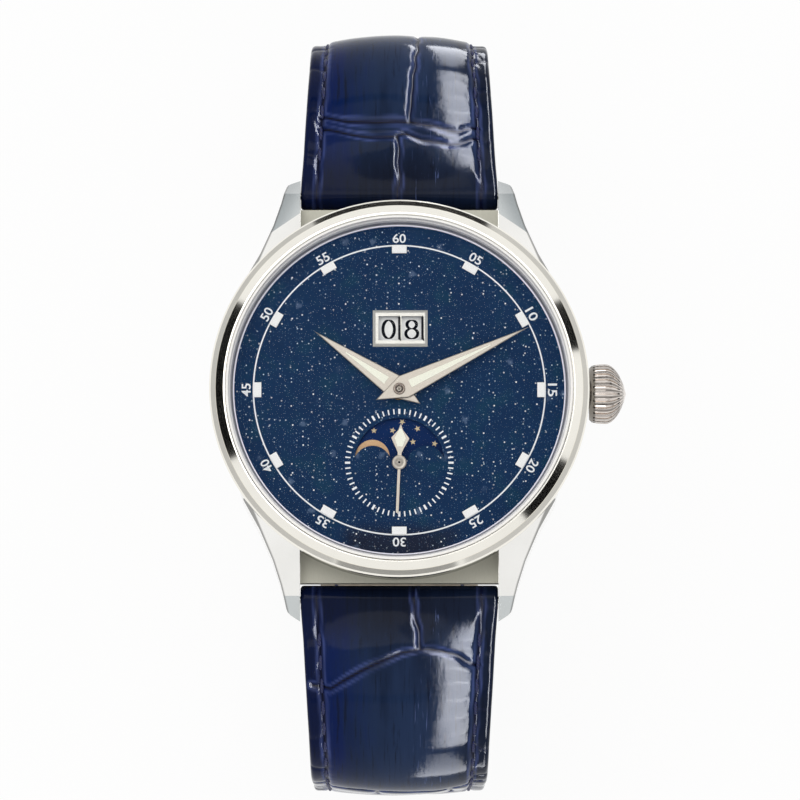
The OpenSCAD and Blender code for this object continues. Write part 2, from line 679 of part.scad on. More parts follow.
// Wheel train
module centre_wheel() color("goldenrod") union() {
    wheel(centre_n, tooth_m[1], tooth_towards(axis_centre, axis_third), 5, z_train + 0.15, wheel_t);
    pinion(centre_pinion_n, tooth_m[0], gap_towards(axis_barrel, axis_centre, centre_pinion_n),
        z_train + 0.4, z_plate - 0.1);
    disc(arbor_d / 2, z_train + 0.06, z_minute + hand_t);
    disc(pivot_d / 2, z_bridge + 0.1, z_plate);
}
module third_wheel() color("goldenrod") at(axis_third) union() {
    pinion(third_pinion_n, tooth_m[1], gap_towards(axis_centre, axis_third, third_pinion_n),
        z_train + 0.1, z_train + 0.5);
    wheel(third_n, tooth_m[2], tooth_towards(axis_third, axis_fourth), 5, z_train + 1.5, wheel_t);
    arbor();
}
seconds_arbor_r = 0.22;
seconds_hub_r = 0.79;
z_seconds = z_face + 0.25;
z_hour = z_seconds + 0.32;
z_minute = z_hour + hand_t + 0.18;
module fourth_wheel() color("goldenrod") at(axis_fourth) union() {
    pinion(fourth_pinion_n, tooth_m[2], gap_towards(axis_third, axis_fourth, fourth_pinion_n),
        z_train + 1.4, z_train + 1.8);
    wheel(fourth_n, tooth_m[3], tooth_towards(axis_fourth, axis_escape), 5, z_train + 0.4, wheel_t);
    disc(arbor_d / 2, z_train + 0.06, z_plate - 0.06);
    disc(pivot_d / 2, z_bridge + 0.1, z_train + 1);
    disc(seconds_arbor_r, z_plate - 0.1, z_seconds + 0.1);
}
module escape_wheel() color("goldenrod") at(axis_escape) union() {
    pinion(escape_pinion_n, tooth_m[3], gap_towards(axis_fourth, axis_escape, escape_pinion_n),
        z_train + 0.25, z_train + 0.75);
    slab(z_train + 1.55, z_train + 1.7) difference() {
        polygon([for (i = [0 : escape_n - 1]) let (c = i * 360 / escape_n)
            each [polar(escape_r - 0.5, c), polar(escape_r, c + 7),
                  polar(escape_r, c + 9.5), polar(escape_r - 0.5, c + 11)]]);
        difference() {
            circle(escape_r - 0.85);
            circle(0.55);
            for (i = [0 : 3]) rotate(90 * i) translate([0, -0.12]) square([far, 0.24]);
        }
    }
    arbor();
}
// Pallet fork: built along +X towards the balance, with two stones that straddle the escape wheel
z_fork = z_train + 1.25;
module pallet_fork() color("silver") at(axis_pallet) rotate(heading(axis_escape, axis_balance)) union() {
    slab(z_fork, z_fork + 0.15) union() {
        polygon([[-0.75, -1.3], [-0.35, -1.35], [0.1, -0.35], [2.7, -0.14], [3.3, -0.5], [3.5, -0.5],
            [3.5, -0.2], [3.2, -0.16], [3.2, 0.16], [3.5, 0.2], [3.5, 0.5], [3.3, 0.5], [2.7, 0.14],
            [0.1, 0.35], [-0.35, 1.35], [-0.75, 1.3], [-0.3, 0.3], [-0.3, -0.3]]);
        circle(0.4);
    }
    for (s = [-1, 1]) translate([-0.55, s * 1.25, z_fork]) rotate(s * 25)
        translate([-0.2, -0.12, 0]) cube([0.4, 0.24, 0.3]);
    disc(arbor_d / 2 - 0.1, z_pallet_bridge + 0.26, z_plate - 0.06);
    disc(pivot_d / 2, z_pallet_bridge, z_plate + 0.4);
}
z_balance = z_train + 0.55;
module balance_wheel() color("goldenrod") at(axis_balance) union() {
    slab(z_balance, z_balance + 0.35) difference() {
        circle(balance_d / 2);
        difference() {
            circle(balance_d / 2 - 0.45);
            circle(0.6);
            for (i = [0 : 1]) rotate(90 * i + 20) translate([-far / 2, -0.2]) square([far, 0.4]);
        }
    }
    disc(1.1, z_balance + 0.42, z_balance + 0.57);
    rotate(heading(axis_balance, axis_pallet)) translate([0.85, 0, 0])
        disc(0.11, z_balance + 0.5, z_balance + 0.66);
    arbor();
}
// Hairspring: a flat spiral from beside the collet to the stud under the cock
coil_turns = 6;
coil_points = 24;
coil_r0 = 0.5;
coil_step = 0.28;
coil_t = 0.06;
function spiral(r0, step, turns) =
    [for (i = [0 : turns * coil_points]) polar(r0 + step * i / coil_points, i * 360 / coil_points)];
function backwards(list) = [for (i = [len(list) - 1 : -1 : 0]) list[i]];
module hairspring() color("steelblue") at(axis_balance) union() {
    slab(z_train + 0.28, z_train + 0.4) polygon(concat(spiral(coil_r0, coil_step, coil_turns),
        backwards(spiral(coil_r0 + coil_t, coil_step, coil_turns))));
    translate([coil_r0 + coil_step * coil_turns + 0.05, 0, 0]) disc(0.16, z_train + 0.2, z_train + 0.42);
}
// Barrel drum with its teeth, mainspring and arbor
drum_z0 = z_train + 0.5;
drum_z1 = z_plate - 0.2;
drum_wall = 0.3;
module barrel() color("goldenrod") at(axis_barrel) difference() {
    union() {
        disc(barrel_r, drum_z0, drum_z1);
        slab(z_plate - 0.5, z_plate - 0.25)
            gear(barrel_n, tooth_m[0], tooth_towards(axis_barrel, axis_centre), 0.95);
    }
    disc(barrel_r - drum_wall, drum_z0 + 0.2, drum_z1 - 0.2);
    disc(barrel_arbor_r + run_fit, 0, far);
}
spring_turns = 8;
spring_r1 = barrel_r - drum_wall - 0.1;
spring_r0 = 1.3;
spring_t = 0.16;
spring_step = (spring_r1 - spring_t - spring_r0) / spring_turns;
module mainspring() color("silver") at(axis_barrel) slab(drum_z0 + 0.25, drum_z1 - 0.25)
    polygon(concat(spiral(spring_r0, spring_step, spring_turns),
        backwards(spiral(spring_r0 + spring_t, spring_step, spring_turns))));
module barrel_arbor() color("silver") at(axis_barrel) difference() {
    union() {
        disc(barrel_arbor_r, z_bridge + 0.05, z_plate + 0.5);
        disc(1.15, drum_z0 + 0.25, drum_z1 - 0.25);
        slab(z_bridge + 0.04, z_bridge + 0.26) polygon([for (i = [0 : 43]) let (c = i * 360 / 44)
            each [polar(ratchet_r - 0.28, c), polar(ratchet_r, c + 5)]]);
    }
    rotate(20) translate([-0.7, -0.1, 0]) cube([1.4, 0.2, z_bridge + 0.2]);
}

// Motion works and the centre hands
cannon_pipe_r = 0.55;
hour_pipe_r = 0.95;
module cannon_pinion() color("silver") difference() {
    union() {
        pinion(cannon_n, cannon_m, tooth_towards(axis_centre, axis_minute),
            z_motion + 0.1, z_motion + 0.38);
        disc(cannon_pipe_r, z_motion + 0.1, z_minute);
    }
    disc(arbor_d / 2 + run_fit, 0, far);
}
module minute_wheel() color("goldenrod") at(axis_minute) difference() {
    union() {
        slab(z_motion + 0.15, z_motion + 0.3)
            gear(minute_n, cannon_m, gap_towards(axis_centre, axis_minute, minute_n), 0.95);
        pinion(minute_pinion_n, hour_m, gap_towards(axis_centre, axis_minute, minute_pinion_n),
            z_motion + 0.15, z_motion + 0.72);
    }
    disc(minute_post_r + run_fit, 0, far);
}
module hour_wheel() color("goldenrod") difference() {
    union() {
        slab(z_motion + 0.44, z_motion + 0.58)
            gear(hour_n, hour_m, tooth_towards(axis_centre, axis_minute), 0.95);
        disc(hour_pipe_r, z_motion + 0.44, z_hour);
    }
    disc(cannon_pipe_r + run_fit, 0, far);
}
module kite(l) polygon([[0, -hand_tail], [shoulder_w, shoulder_y], [0, l], [-shoulder_w, shoulder_y]]);
module hour_hand() color("antiquewhite") difference() {
    rotate(-hour_angle) slab(z_hour, z_hour + hand_t) kite(hour_l);
    disc(cannon_pipe_r + run_fit, 0, far);
}
module minute_hand() color("antiquewhite") difference() {
    union() {
        rotate(-minute_angle) slab(z_minute, z_minute + hand_t) kite(minute_l);
        disc(0.62, z_minute, z_minute + hand_t + 0.14);
    }
    disc(arbor_d / 2 + seat_fit, 0, z_minute + hand_t + eps);
}
module seconds_hand() color("antiquewhite") at(axis_fourth) rotate(-second_angle) difference() {
    slab(z_seconds, z_seconds + 0.14) union() {
        circle(seconds_hub_r);
        translate([-0.15, 0]) square([0.3, needle_l]);
        polygon([[-0.22, 0], [-0.22, -1.1], [-0.4, -1.5], [-diamond_w, -2.7], [-0.25, -3.6],
            [0, -diamond_l], [0.25, -3.6], [diamond_w, -2.7], [0.4, -1.5], [0.22, -1.1], [0.22, 0]]);
    }
    disc(seconds_arbor_r + eps, 0, far);
}
// Date discs side by side in one plane, and the moon disc around the seconds axis
z_disc = z_dial - 0.4;
module calendar_disc(r, bore, teeth, star_r) difference() {
    union() {
        disc(r, z_disc, z_disc + 0.2);
        slab(z_motion + 0.1, z_disc + eps) polygon([for (i = [0 : teeth - 1]) let (c = i * 360 / teeth)
            each [polar(star_r, c), polar(star_r * 0.72, c + 180 / teeth)]]);
    }
    disc(bore + run_fit, 0, far);
}
module date_ones_disc() color("white") at(axis_ones) calendar_disc(disc_r, post_r, 10, 2);
module date_tens_disc() color("white") at(axis_tens) calendar_disc(disc_r, post_r, 4, 1.9);
module moon_disc() color("royalblue") at(axis_fourth)
    calendar_disc(moon_window_r + 0.1, seconds_post_r, 59, 3);

// Crown, its gasket, the stem and the keyless works
crown_recess_r = tube_d / 2 + 0.7;
crown_r = crown_d / 2;
crown_belly = 1.8;
crown_groove = 0.16;
groove_angle = 4.4;
// Half of the crown's outline: a barrel that closes in a dome
module crown_form(less = 0) rotate_extrude() polygon(concat([[0, less], [crown_r - 0.45 - less, less],
    [crown_r - 0.15 - less, 0.3], [crown_r - 0.03 - less, 1]],
    [for (i = [0 : 10]) let (t = i / 10) [(crown_r - less) * pow(1 - t * t, 0.78),
        crown_belly + (crown_l + crown_tip_h - less - crown_belly) * t]]));
module crown() color("silver") translate([crown_x, 0, stem_z]) along_x() difference() {
    union() {
        crown_form(crown_groove);
        difference() {
            crown_form();
            for (i = [0 : crown_flutes - 1]) rotate(i * 360 / crown_flutes)
                translate([0, 0, 0.45]) linear_extrude(crown_l - 0.75)
                    polygon([[0.3, 0], polar(crown_d, -groove_angle / 2), polar(crown_d, groove_angle / 2)]);
        }
    }
    translate([0, 0, -1]) cylinder(r = crown_recess_r, h = crown_recess + 1);
    cylinder(d = stem_d, h = crown_l - 0.3);
}
module crown_gasket() color("black") translate([crown_x + 0.3, 0, stem_z]) along_x() difference() {
    cylinder(r = crown_recess_r - run_fit, h = 0.6);
    translate([0, 0, -1]) cylinder(r = tube_d / 2 + run_fit, h = 3);
}
stem_square = 0.76;
module winding_stem() color("silver") translate([0, 0, stem_z]) along_x() difference() {
    union() {
        translate([0, 0, 10]) cylinder(d = stem_d, h = crown_end - 0.35 - 10);
        translate([-stem_square / 2, -stem_square / 2, 7]) cube([stem_square, stem_square, 3 + eps]);
    }
    translate([0, 0, groove_x - 0.36]) difference() {
        cylinder(d = stem_d + 1, h = 0.72);
        translate([0, 0, -1]) cylinder(r = 0.28, h = 3);
    }
}
module sliding_pinion() color("silver") translate([8, 0, stem_z]) along_x() difference() {
    linear_extrude(1.8) gear(14, 0.11, 0, 0.8);
    translate([-stem_square / 2 - run_fit, -stem_square / 2 - run_fit, -1])
        cube([stem_square + 2 * run_fit, stem_square + 2 * run_fit, 4]);
    ring(2, 0.66, 0.7, 1.1);
}
module winding_pinion() color("silver") translate([10.02, 0, stem_z]) along_x() difference() {
    linear_extrude(1.15) gear(14, 0.12, 0, 0.8);
    translate([0, 0, -1]) cylinder(d = stem_d + 2 * run_fit, h = 4);
}
module setting_lever() color("silver") at(axis_lever) rotate(90 + lever_swing) difference() {
    union() {
        slab(z_train + 1.72, z_train + 1.9) union() {
            circle(0.8);
            translate([0, -0.35]) square([lever_arm, 0.7]);
            translate([lever_arm, 0]) circle(0.35);
        }
        translate([lever_arm, 0, 0]) disc(0.2, stem_z - 0.3, z_train + 1.8);
    }
    disc(lever_post_r + run_fit, 0, far);
}

// The strap's path in the plane of Y and Z, by length from the spring bar: [y, z, heading]
drop = 12;
function arc_to(p, r, a) =
    [p[0] + r * (sin(p[2]) - sin(p[2] - a)), p[1] - r * (cos(p[2]) - cos(p[2] - a)), p[2] - a];
function run_to(p, l) = [p[0] + l * cos(p[2]), p[1] + l * sin(p[2]), p[2]];
upper_l = upper_bend * (90 - drop) * PI / 180;
lower_l = lower_bend * 90 * PI / 180;
path_0 = [bar_y, bar_z, -drop];
path_1 = run_to(path_0, first_run);
path_2 = arc_to(path_1, upper_bend, 90 - drop);
path_3 = run_to(path_2, side_run);
path_4 = arc_to(path_3, lower_bend, 90);
s_1 = first_run;
s_2 = s_1 + upper_l;
s_3 = s_2 + side_run;
s_4 = s_3 + lower_l;
tail_run = 2 * path_4[0] - buckle_l - buckle_d / 2 - tail_gap;
s_5 = s_4 + tail_run;
function path(s) = s < s_1 ? run_to(path_0, s)
    : s < s_2 ? arc_to(path_1, upper_bend, (s - s_1) / upper_bend * 180 / PI)
    : s < s_3 ? run_to(path_2, s - s_2)
    : s < s_4 ? arc_to(path_3, lower_bend, (s - s_3) / lower_bend * 180 / PI)
    : run_to(path_4, s - s_4);
// A point beside the path: x across the strap, h out from the wrist
function beside(s, x, h) = let (p = path(s)) [x, p[0] - h * sin(p[2]), p[1] + h * cos(p[2])];
function ease(t) = let (u = min(1, max(0, t))) u * u * (3 - 2 * u);
function pad(s) = s < 6 ? bar_loop_r + (pad_t - bar_loop_r) * ease(s / 6)
    : pad_t + (leather_t - pad_t) * ease((s - 16) / 30);
// The sewn border on both sides of the pad is lower than the pad
function border(s) = max(0.6 * pad(s), min(0.94 * pad(s), lining_t));
function width(s) = strap_w + (strap_end_w - strap_w) * min(1, s / s_4);
bar_loop_r = bar_d / 2 + run_fit + 0.8;
buckle_loop_r = leather_t;
// Width at a place near the round tip of the tail
tip_l = 8;
function tip_width(s) = let (d = s_5 - s)
    d > tip_l ? width(s) : width(s) * sqrt(max(0.02, 1 - pow(1 - d / tip_l, 2)));
// Stations along a strap half: even on the half with the buckle, closer where the tail is round
lining_end = s_4 - buckle_loop_r - 0.15;
function strap_12_stations() = concat([for (i = [0 : 31]) lining_end * i / 31], [s_4]);
function strap_6_stations() = concat([for (i = [0 : 31]) (s_5 - tip_l) * i / 32],
    [for (d = [6, 4, 2.4, 1.2, 0.4, 0]) s_5 - d]);
// Solid between rings of points that all have the same count
module sweep(rings) {
    n = len(rings[0]);
    last = len(rings) - 1;
    polyhedron(points = [for (r = rings) each r], faces = concat(
        [for (i = [0 : last - 1], j = [0 : n - 1]) let (a = i * n + j, b = i * n + (j + 1) % n)
            each [[a, b + n, b], [a, a + n, b + n]]],
        [for (j = [1 : n - 2]) [0, j, j + 1]],
        [for (j = [1 : n - 2]) [last * n, last * n + j + 1, last * n + j]]), convexity = 6);
}
// Cross-sections: the leather is a crowned pad between two lower borders, the lining is flat.
// Each point has its share of the half width, of the pad's height and of the border's height.
half_profile = [[0, 1, 0], [0.4, 0.98, 0], [0.68, 0.9, 0], [0.78, 0.82, 0],
    [0.87, 0, 1], [0.96, 0, 0.96], [1, 0, 0.7]];
top_profile = concat([for (p = backwards(half_profile)) [-p.x, p.y, p.z]],
    [for (i = [1 : len(half_profile) - 1]) half_profile[i]]);
function leather_ring(s, w) = concat(
    [for (p = top_profile) beside(s, p.x * w / 2, p.y * pad(s) + p.z * border(s))],
    [beside(s, w / 2, 0), beside(s, -w / 2, 0)]);
function lining_ring(s, w) = [beside(s, -w / 2, 0), beside(s, w / 2, 0),
    beside(s, w / 2 - 0.25, -lining_t), beside(s, 0.25 - w / 2, -lining_t)];
module loop(p, r, bore, w) translate([-w / 2, p[0], p[1]]) along_x() difference() {
    cylinder(r = r, h = w);
    translate([0, 0, -1]) cylinder(r = bore, h = w + 2);
}
module bore_cut(p, r) translate([-far / 2, p[0], p[1]]) along_x() cylinder(r = r, h = far);
bar_bore_r = bar_d / 2 + run_fit;
buckle_bore_r = buckle_bar_d / 2 + run_fit;
lining_start = bar_loop_r + 0.15;
// The stations of a half that its lining has too, up to a last one
function lined(list, last) = concat([lining_start],
    [for (s = list) if (s > lining_start + 0.3 && s <= last) s]);
module tang_slot() translate([-tang_w / 2 - strap_fit, path_4[0] - far, path_4[1] - 5])
    cube([tang_w + 2 * strap_fit, far + 2.3, 10]);
module strap_12_leather() color("navy") difference() {
    union() {
        sweep([for (s = strap_12_stations()) leather_ring(s, width(s))]);
        loop(path_0, bar_loop_r, bar_bore_r, strap_w);
        loop(path_4, buckle_loop_r, buckle_bore_r, strap_end_w);
    }
    bore_cut(path_0, bar_bore_r);
    bore_cut(path_4, buckle_bore_r);
    tang_slot();
}
module strap_12_lining() color("dimgray") difference() {
    sweep([for (s = lined(strap_12_stations(), s_4 - eps)) lining_ring(s, width(s))]);
    tang_slot();
}
hole_places = [for (i = [0 : tail_holes - 1]) s_5 - hole_end - i * hole_pitch];
module tail_hole_cuts() for (s = hole_places) let (p = path(s))
    translate([0, p[0], p[1]]) rotate([p[2], 0, 0]) cylinder(d = hole_d, h = 8, center = true);
module strap_6_leather() color("navy") mirror([0, 1, 0]) difference() {
    union() {
        sweep([for (s = strap_6_stations()) leather_ring(s, tip_width(s))]);
        loop(path_0, bar_loop_r, bar_bore_r, strap_w);
    }
    bore_cut(path_0, bar_bore_r);
    tail_hole_cuts();
}
module strap_6_lining() color("dimgray") mirror([0, 1, 0]) difference() {
    sweep([for (s = lined(strap_6_stations(), s_5)) lining_ring(s, tip_width(s))]);
    tail_hole_cuts();
}
// Keepers: closed leather loops bent around the same centre as the strap's lower bend
bend_centre = [path_3[0] - lower_bend, path_3[1]];
keeper_room = 2 * (lining_t + leather_t) + 2 * strap_fit;
keeper_start = lower_bend - lining_t - strap_fit;
// The strap is a little wider at the keepers than at its end
free_keeper_gap = 0.75;
fixed_keeper_gap = 0.45;
module keeper(at_turn, w) translate([0, bend_centre.x, bend_centre.y]) rotate([0, 90, 0])
    rotate([0, 0, 90 - at_turn - keeper_turn / 2]) rotate_extrude(angle = keeper_turn, $fn = 180)
    difference() {
        translate([keeper_start - keeper_t, -w / 2 - keeper_t])
            square([keeper_room + 2 * keeper_t, w + 2 * keeper_t]);
        translate([keeper_start, -w / 2]) square([keeper_room, w]);
    }
module free_keeper() color("navy") keeper(free_keeper_at, strap_end_w + 2 * free_keeper_gap);
module fixed_keeper() color("navy") keeper(fixed_keeper_at, strap_end_w + 2 * fixed_keeper_gap);

// Buckle: a frame on its bar at the end of the strap, with a tang that falls in a notch
arm_x = strap_end_w / 2 + strap_fit;
buckle_half = arm_x + buckle_arm_t;
buckle_tilt = asin((buckle_d / 2 - leather_t) / buckle_l);
module on_bar() translate([0, path_4[0], path_4[1]]) rotate([180 - buckle_tilt, 0, 0]) children();
// The frame is built from the bar along +Y with the outer side up, then turned over
module buckle_frame() color("silver") on_bar() difference() {
    union() {
        for (sx = [0, 1]) mirror([sx, 0, 0]) {
            translate([arm_x, 0, 0]) along_x() cylinder(r = buckle_bar_d / 2 + 0.65, h = buckle_arm_t);
            translate([arm_x, 0, 0]) along_x() linear_extrude(buckle_arm_t)
                polygon([[0, -1.1], [buckle_l, -0.9], [buckle_l, 0.9], [0, 1.1]]);
        }
        translate([-buckle_half, buckle_l, 0]) along_x() cylinder(d = buckle_d, h = 2 * buckle_half);
        translate([0.3 - buckle_half, 0, 0]) along_x()
            cylinder(d = buckle_bar_d, h = 2 * buckle_half - 0.6);
    }
    translate([-tang_w / 2 - 0.2, buckle_l - far / 2, buckle_d / 2 - tang_t - 0.1])
        cube([tang_w + 0.4, far, far]);
}
module buckle_tang() color("silver") on_bar() difference() {
    translate([-tang_w / 2, 0, 0]) along_x() union() {
        cylinder(r = buckle_bar_d / 2 + run_fit + 0.5, h = tang_w);
        linear_extrude(tang_w) polygon([[0, 0.35], [buckle_l - 1.2, buckle_d / 2 - tang_t],
            [buckle_l + 1, buckle_d / 2 - tang_t], [buckle_l + 1, buckle_d / 2 - 0.25],
            [buckle_l + 0.6, buckle_d / 2 - 0.03], [0, buckle_bar_d / 2 + 0.5]]);
    }
    translate([-far / 2, 0, 0]) along_x() cylinder(d = buckle_bar_d + 2 * run_fit, h = far);
}

case_middle();
bezel();
crystal();
crystal_gasket();
flange_ring();
case_back_ring();
case_back_window();
case_back_gasket();
case_back_screws();
crown_tube();
movement_holder();
case_clamps();
clamp_screws();
spring_bar_12();
spring_bar_6();
dial();
hour_blocks();
date_frame();
main_plate();
train_bridge();
barrel_bridge();
balance_cock();
pallet_bridge();
bridge_screws();
jewels();
rotor_bearing();
rotor();
centre_wheel();
third_wheel();
fourth_wheel();
seconds_hand();
escape_wheel();
pallet_fork();
balance_wheel();
hairspring();
barrel();
mainspring();
barrel_arbor();
cannon_pinion();
minute_hand();
minute_wheel();
hour_wheel();
hour_hand();
date_ones_disc();
date_tens_disc();
moon_disc();
crown();
crown_gasket();
winding_stem();
sliding_pinion();
winding_pinion();
setting_lever();
strap_12_leather();
strap_12_lining();
strap_6_leather();
strap_6_lining();
fixed_keeper();
free_keeper();
buckle_frame();
buckle_tang();
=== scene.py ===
# The looks of a wristwatch: a sparkling blue dial, polished steel and a padded crocodile-grain
# strap. The frame and its pieces are in metres, and sizes are written here in mm.
import json
import math

import bmesh
import bpy
import numpy as np
from mathutils import Matrix, Vector, geometry

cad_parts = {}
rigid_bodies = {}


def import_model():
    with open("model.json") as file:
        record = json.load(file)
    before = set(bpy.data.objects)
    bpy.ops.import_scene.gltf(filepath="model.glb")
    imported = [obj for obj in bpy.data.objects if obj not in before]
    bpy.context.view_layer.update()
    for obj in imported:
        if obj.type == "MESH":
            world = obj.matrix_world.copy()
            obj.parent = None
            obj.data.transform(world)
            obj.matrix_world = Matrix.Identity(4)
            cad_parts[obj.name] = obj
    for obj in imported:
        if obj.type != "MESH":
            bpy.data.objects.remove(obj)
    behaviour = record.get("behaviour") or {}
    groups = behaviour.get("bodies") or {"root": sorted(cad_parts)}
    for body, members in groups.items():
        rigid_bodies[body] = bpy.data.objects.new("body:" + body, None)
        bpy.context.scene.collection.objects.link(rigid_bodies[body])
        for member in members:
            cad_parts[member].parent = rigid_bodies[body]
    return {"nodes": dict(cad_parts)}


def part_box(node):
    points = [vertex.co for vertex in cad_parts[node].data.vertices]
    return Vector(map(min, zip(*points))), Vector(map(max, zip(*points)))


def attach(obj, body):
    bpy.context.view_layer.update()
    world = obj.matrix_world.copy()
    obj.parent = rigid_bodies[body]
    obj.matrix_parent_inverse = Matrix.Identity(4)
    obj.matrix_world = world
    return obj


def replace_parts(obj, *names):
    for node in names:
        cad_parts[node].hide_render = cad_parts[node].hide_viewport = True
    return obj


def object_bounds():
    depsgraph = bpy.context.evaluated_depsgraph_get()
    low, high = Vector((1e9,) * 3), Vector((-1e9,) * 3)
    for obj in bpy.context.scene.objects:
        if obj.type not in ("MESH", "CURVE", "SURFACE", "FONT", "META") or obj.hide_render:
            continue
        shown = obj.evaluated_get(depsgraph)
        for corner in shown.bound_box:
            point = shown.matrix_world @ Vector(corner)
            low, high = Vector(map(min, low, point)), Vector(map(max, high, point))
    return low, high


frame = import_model()
cad_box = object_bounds()
MM = 0.001

# Heights and sizes of the solids that the printed and sewn pieces sit on
FACE_Z = 7.7
CROWN_Z = 4.2
CROWN_FLUTES = 26
SUBDIAL = (0.0, -8.1)
MOON_DISC_Z = 7.1
DATE_DISC_Z = 7.1
DATE_CENTRE = (0.1, 6.85)
DATE_AXIS = 6.125
DIGIT_R = 4.85
DIGIT_H = 2.2
WINDOW_H = 2.7
HOUR_HAND = dict(turn=304.6, length=11.4, z=8.27, bore=0.6)
MINUTE_HAND = dict(turn=64.3, length=15.9, z=8.65, bore=0.35)
HAND_T = 0.2
SECONDS_HAND = dict(turn=182.4, z=7.95, t=0.14)
INK_T = 0.012


# Shader arithmetic

class Wire:
    """A shader socket that takes part in Python arithmetic. Each operator adds its Math node."""

    def __init__(self, finish, socket):
        self.finish = finish
        self.socket = socket

    def other(self, output):
        return Wire(self.finish, self.socket.node.outputs[output])

    def math(self, operation, *values):
        return self.finish.node("ShaderNodeMath", {"operation": operation}, dict(enumerate(values)))

    def __add__(self, value):
        return self.math("ADD", self, value)

    def __sub__(self, value):
        return self.math("SUBTRACT", self, value)

    def __mul__(self, value):
        return self.math("MULTIPLY", self, value)

    def __truediv__(self, value):
        return self.math("DIVIDE", self, value)

    def __pow__(self, value):
        return self.math("POWER", self, value)

    def __lt__(self, value):
        return self.math("LESS_THAN", self, value)

    def __gt__(self, value):
        return self.math("GREATER_THAN", self, value)

    def __abs__(self):
        return self.math("ABSOLUTE", self)

    def __rsub__(self, value):
        return self.math("SUBTRACT", value, self)

    def __rtruediv__(self, value):
        return self.math("DIVIDE", value, self)

    __radd__ = __add__
    __rmul__ = __mul__

    def sine(self):
        return self.math("SINE", self)

    def fraction(self):
        return self.math("FRACT", self)

    def larger(self, value):
        return self.math("MAXIMUM", self, value)

    def smaller(self, value):
        return self.math("MINIMUM", self, value)

    def turn_from(self, value):
        """The angle in radians at which self lies, turned away from value's direction."""
        return self.math("ARCTAN2", self, value)


class Finish:
    """A material or world being made. node() adds a node and gives back one of its outputs."""

    def __init__(self, owner, output="ShaderNodeOutputMaterial"):
        self.owner = owner
        owner.use_nodes = True
        self.tree = owner.node_tree
        self.tree.nodes.clear()
        self.output = self.tree.nodes.new(output)

    def node(self, kind, settings=None, sockets=None, output=0):
        node = self.tree.nodes.new(kind)
        for name, value in (settings or {}).items():
            if name == "stops":
                while len(node.color_ramp.elements) < len(value):
                    node.color_ramp.elements.new(0.5)
                for element, (position, colour) in zip(node.color_ramp.elements, value):
                    element.position = position
                    element.color = colour
            else:
                setattr(node, name, value)
        for name, value in (sockets or {}).items():
            if isinstance(value, Wire):
                self.tree.links.new(value.socket, node.inputs[name])
            else:
                node.inputs[name].default_value = value
        return Wire(self, node.outputs[output])

    def place(self, stretch=(1, 1, 1)):
        """The point on the piece in mm, squeezed by stretch."""
        metres = self.node("ShaderNodeTexCoord", output="Object")
        scale = tuple(s / MM for s in stretch)
        return self.node("ShaderNodeVectorMath", {"operation": "MULTIPLY"}, {0: metres, 1: scale})

    def along_strap(self, stretch=(1, 1, 1)):
        """The point on a strap in mm: across it, along it, and out from the wrist."""
        place = self.node("ShaderNodeAttribute", {"attribute_name": "strap_place"}, output="Vector")
        return self.node("ShaderNodeVectorMath", {"operation": "MULTIPLY"}, {0: place, 1: stretch})

    def mask(self, name):
        return self.node("ShaderNodeAttribute", {"attribute_name": name}, output="Fac")

    def axes(self, vector):
        x = self.node("ShaderNodeSeparateXYZ", None, {0: vector})
        return x, x.other(1), x.other(2)

    def vector(self, x, y, z=0.0):
        return self.node("ShaderNodeCombineXYZ", None, {0: x, 1: y, 2: z})

    def noise(self, vector, scale, detail=2.0, roughness=0.5):
        sockets = {"Vector": vector, "Scale": scale, "Detail": detail, "Roughness": roughness}
        return self.node("ShaderNodeTexNoise", None, sockets)

    def cells(self, vector, scale, feature="F1", dimensions="3D"):
        settings = {"feature": feature, "voronoi_dimensions": dimensions}
        return self.node("ShaderNodeTexVoronoi", settings, {"Vector": vector, "Scale": scale})

    def smooth(self, value, low, high):
        """0 below low and 1 above high, or the other way round where high is the smaller."""
        settings = {"interpolation_type": "SMOOTHSTEP"}
        flip = high < low
        sockets = {"Value": value, 1: min(low, high), 2: max(low, high), 3: float(flip), 4: float(not flip)}
        return self.node("ShaderNodeMapRange", settings, sockets)

    def mix(self, factor, first, second):
        return self.node("ShaderNodeMix", {"data_type": "RGBA"}, {0: factor, 6: first, 7: second}, 2)

    def bump(self, height, distance, strength=1.0):
        """A normal raised by height, where 1 stands for distance in mm."""
        sockets = {"Height": height, "Distance": distance * MM, "Strength": strength}
        return self.node("ShaderNodeBump", None, sockets)

    def surface(self, colour, metallic=0.0, roughness=0.5, normal=None, **constants):
        sockets = {"Base Color": colour, "Metallic": metallic, "Roughness": roughness}
        if normal is not None:
            sockets["Normal"] = normal
        sockets.update({name.replace("_", " "): value for name, value in constants.items()})
        self.shown(self.node("ShaderNodeBsdfPrincipled", None, sockets))

    def shown(self, shader):
        self.tree.links.new(shader.socket, self.output.inputs["Surface"])


def shade(red, green, blue):
    """A colour given as it looks on a screen, from 0 to 255."""
    def linear(value):
        value = value / 255
        return value / 12.92 if value <= 0.04045 else ((value + 0.055) / 1.055) ** 2.4
    return (linear(red), linear(green), linear(blue), 1.0)


def dimmed(colour, share):
    return tuple(part * share for part in colour[:3]) + (1.0,)


def distance(x, y):
    return (x ** 2 + y ** 2) ** 0.5


# Metals and movement finishes

def polished_metal(f, colour, roughness, scratches):
    smudge = f.noise(f.place(), 0.3, 3.0)
    hairline = f.noise(f.place((1, 9, 3)), 2.2, 4.0, 0.7)
    dull = f.smooth(hairline, 0.52, 0.75)
    f.surface(f.mix(smudge, dimmed(colour, 0.9), colour), 1.0,
              roughness + smudge * 0.05 + dull * scratches * 0.4, f.bump(hairline, 0.004, scratches))


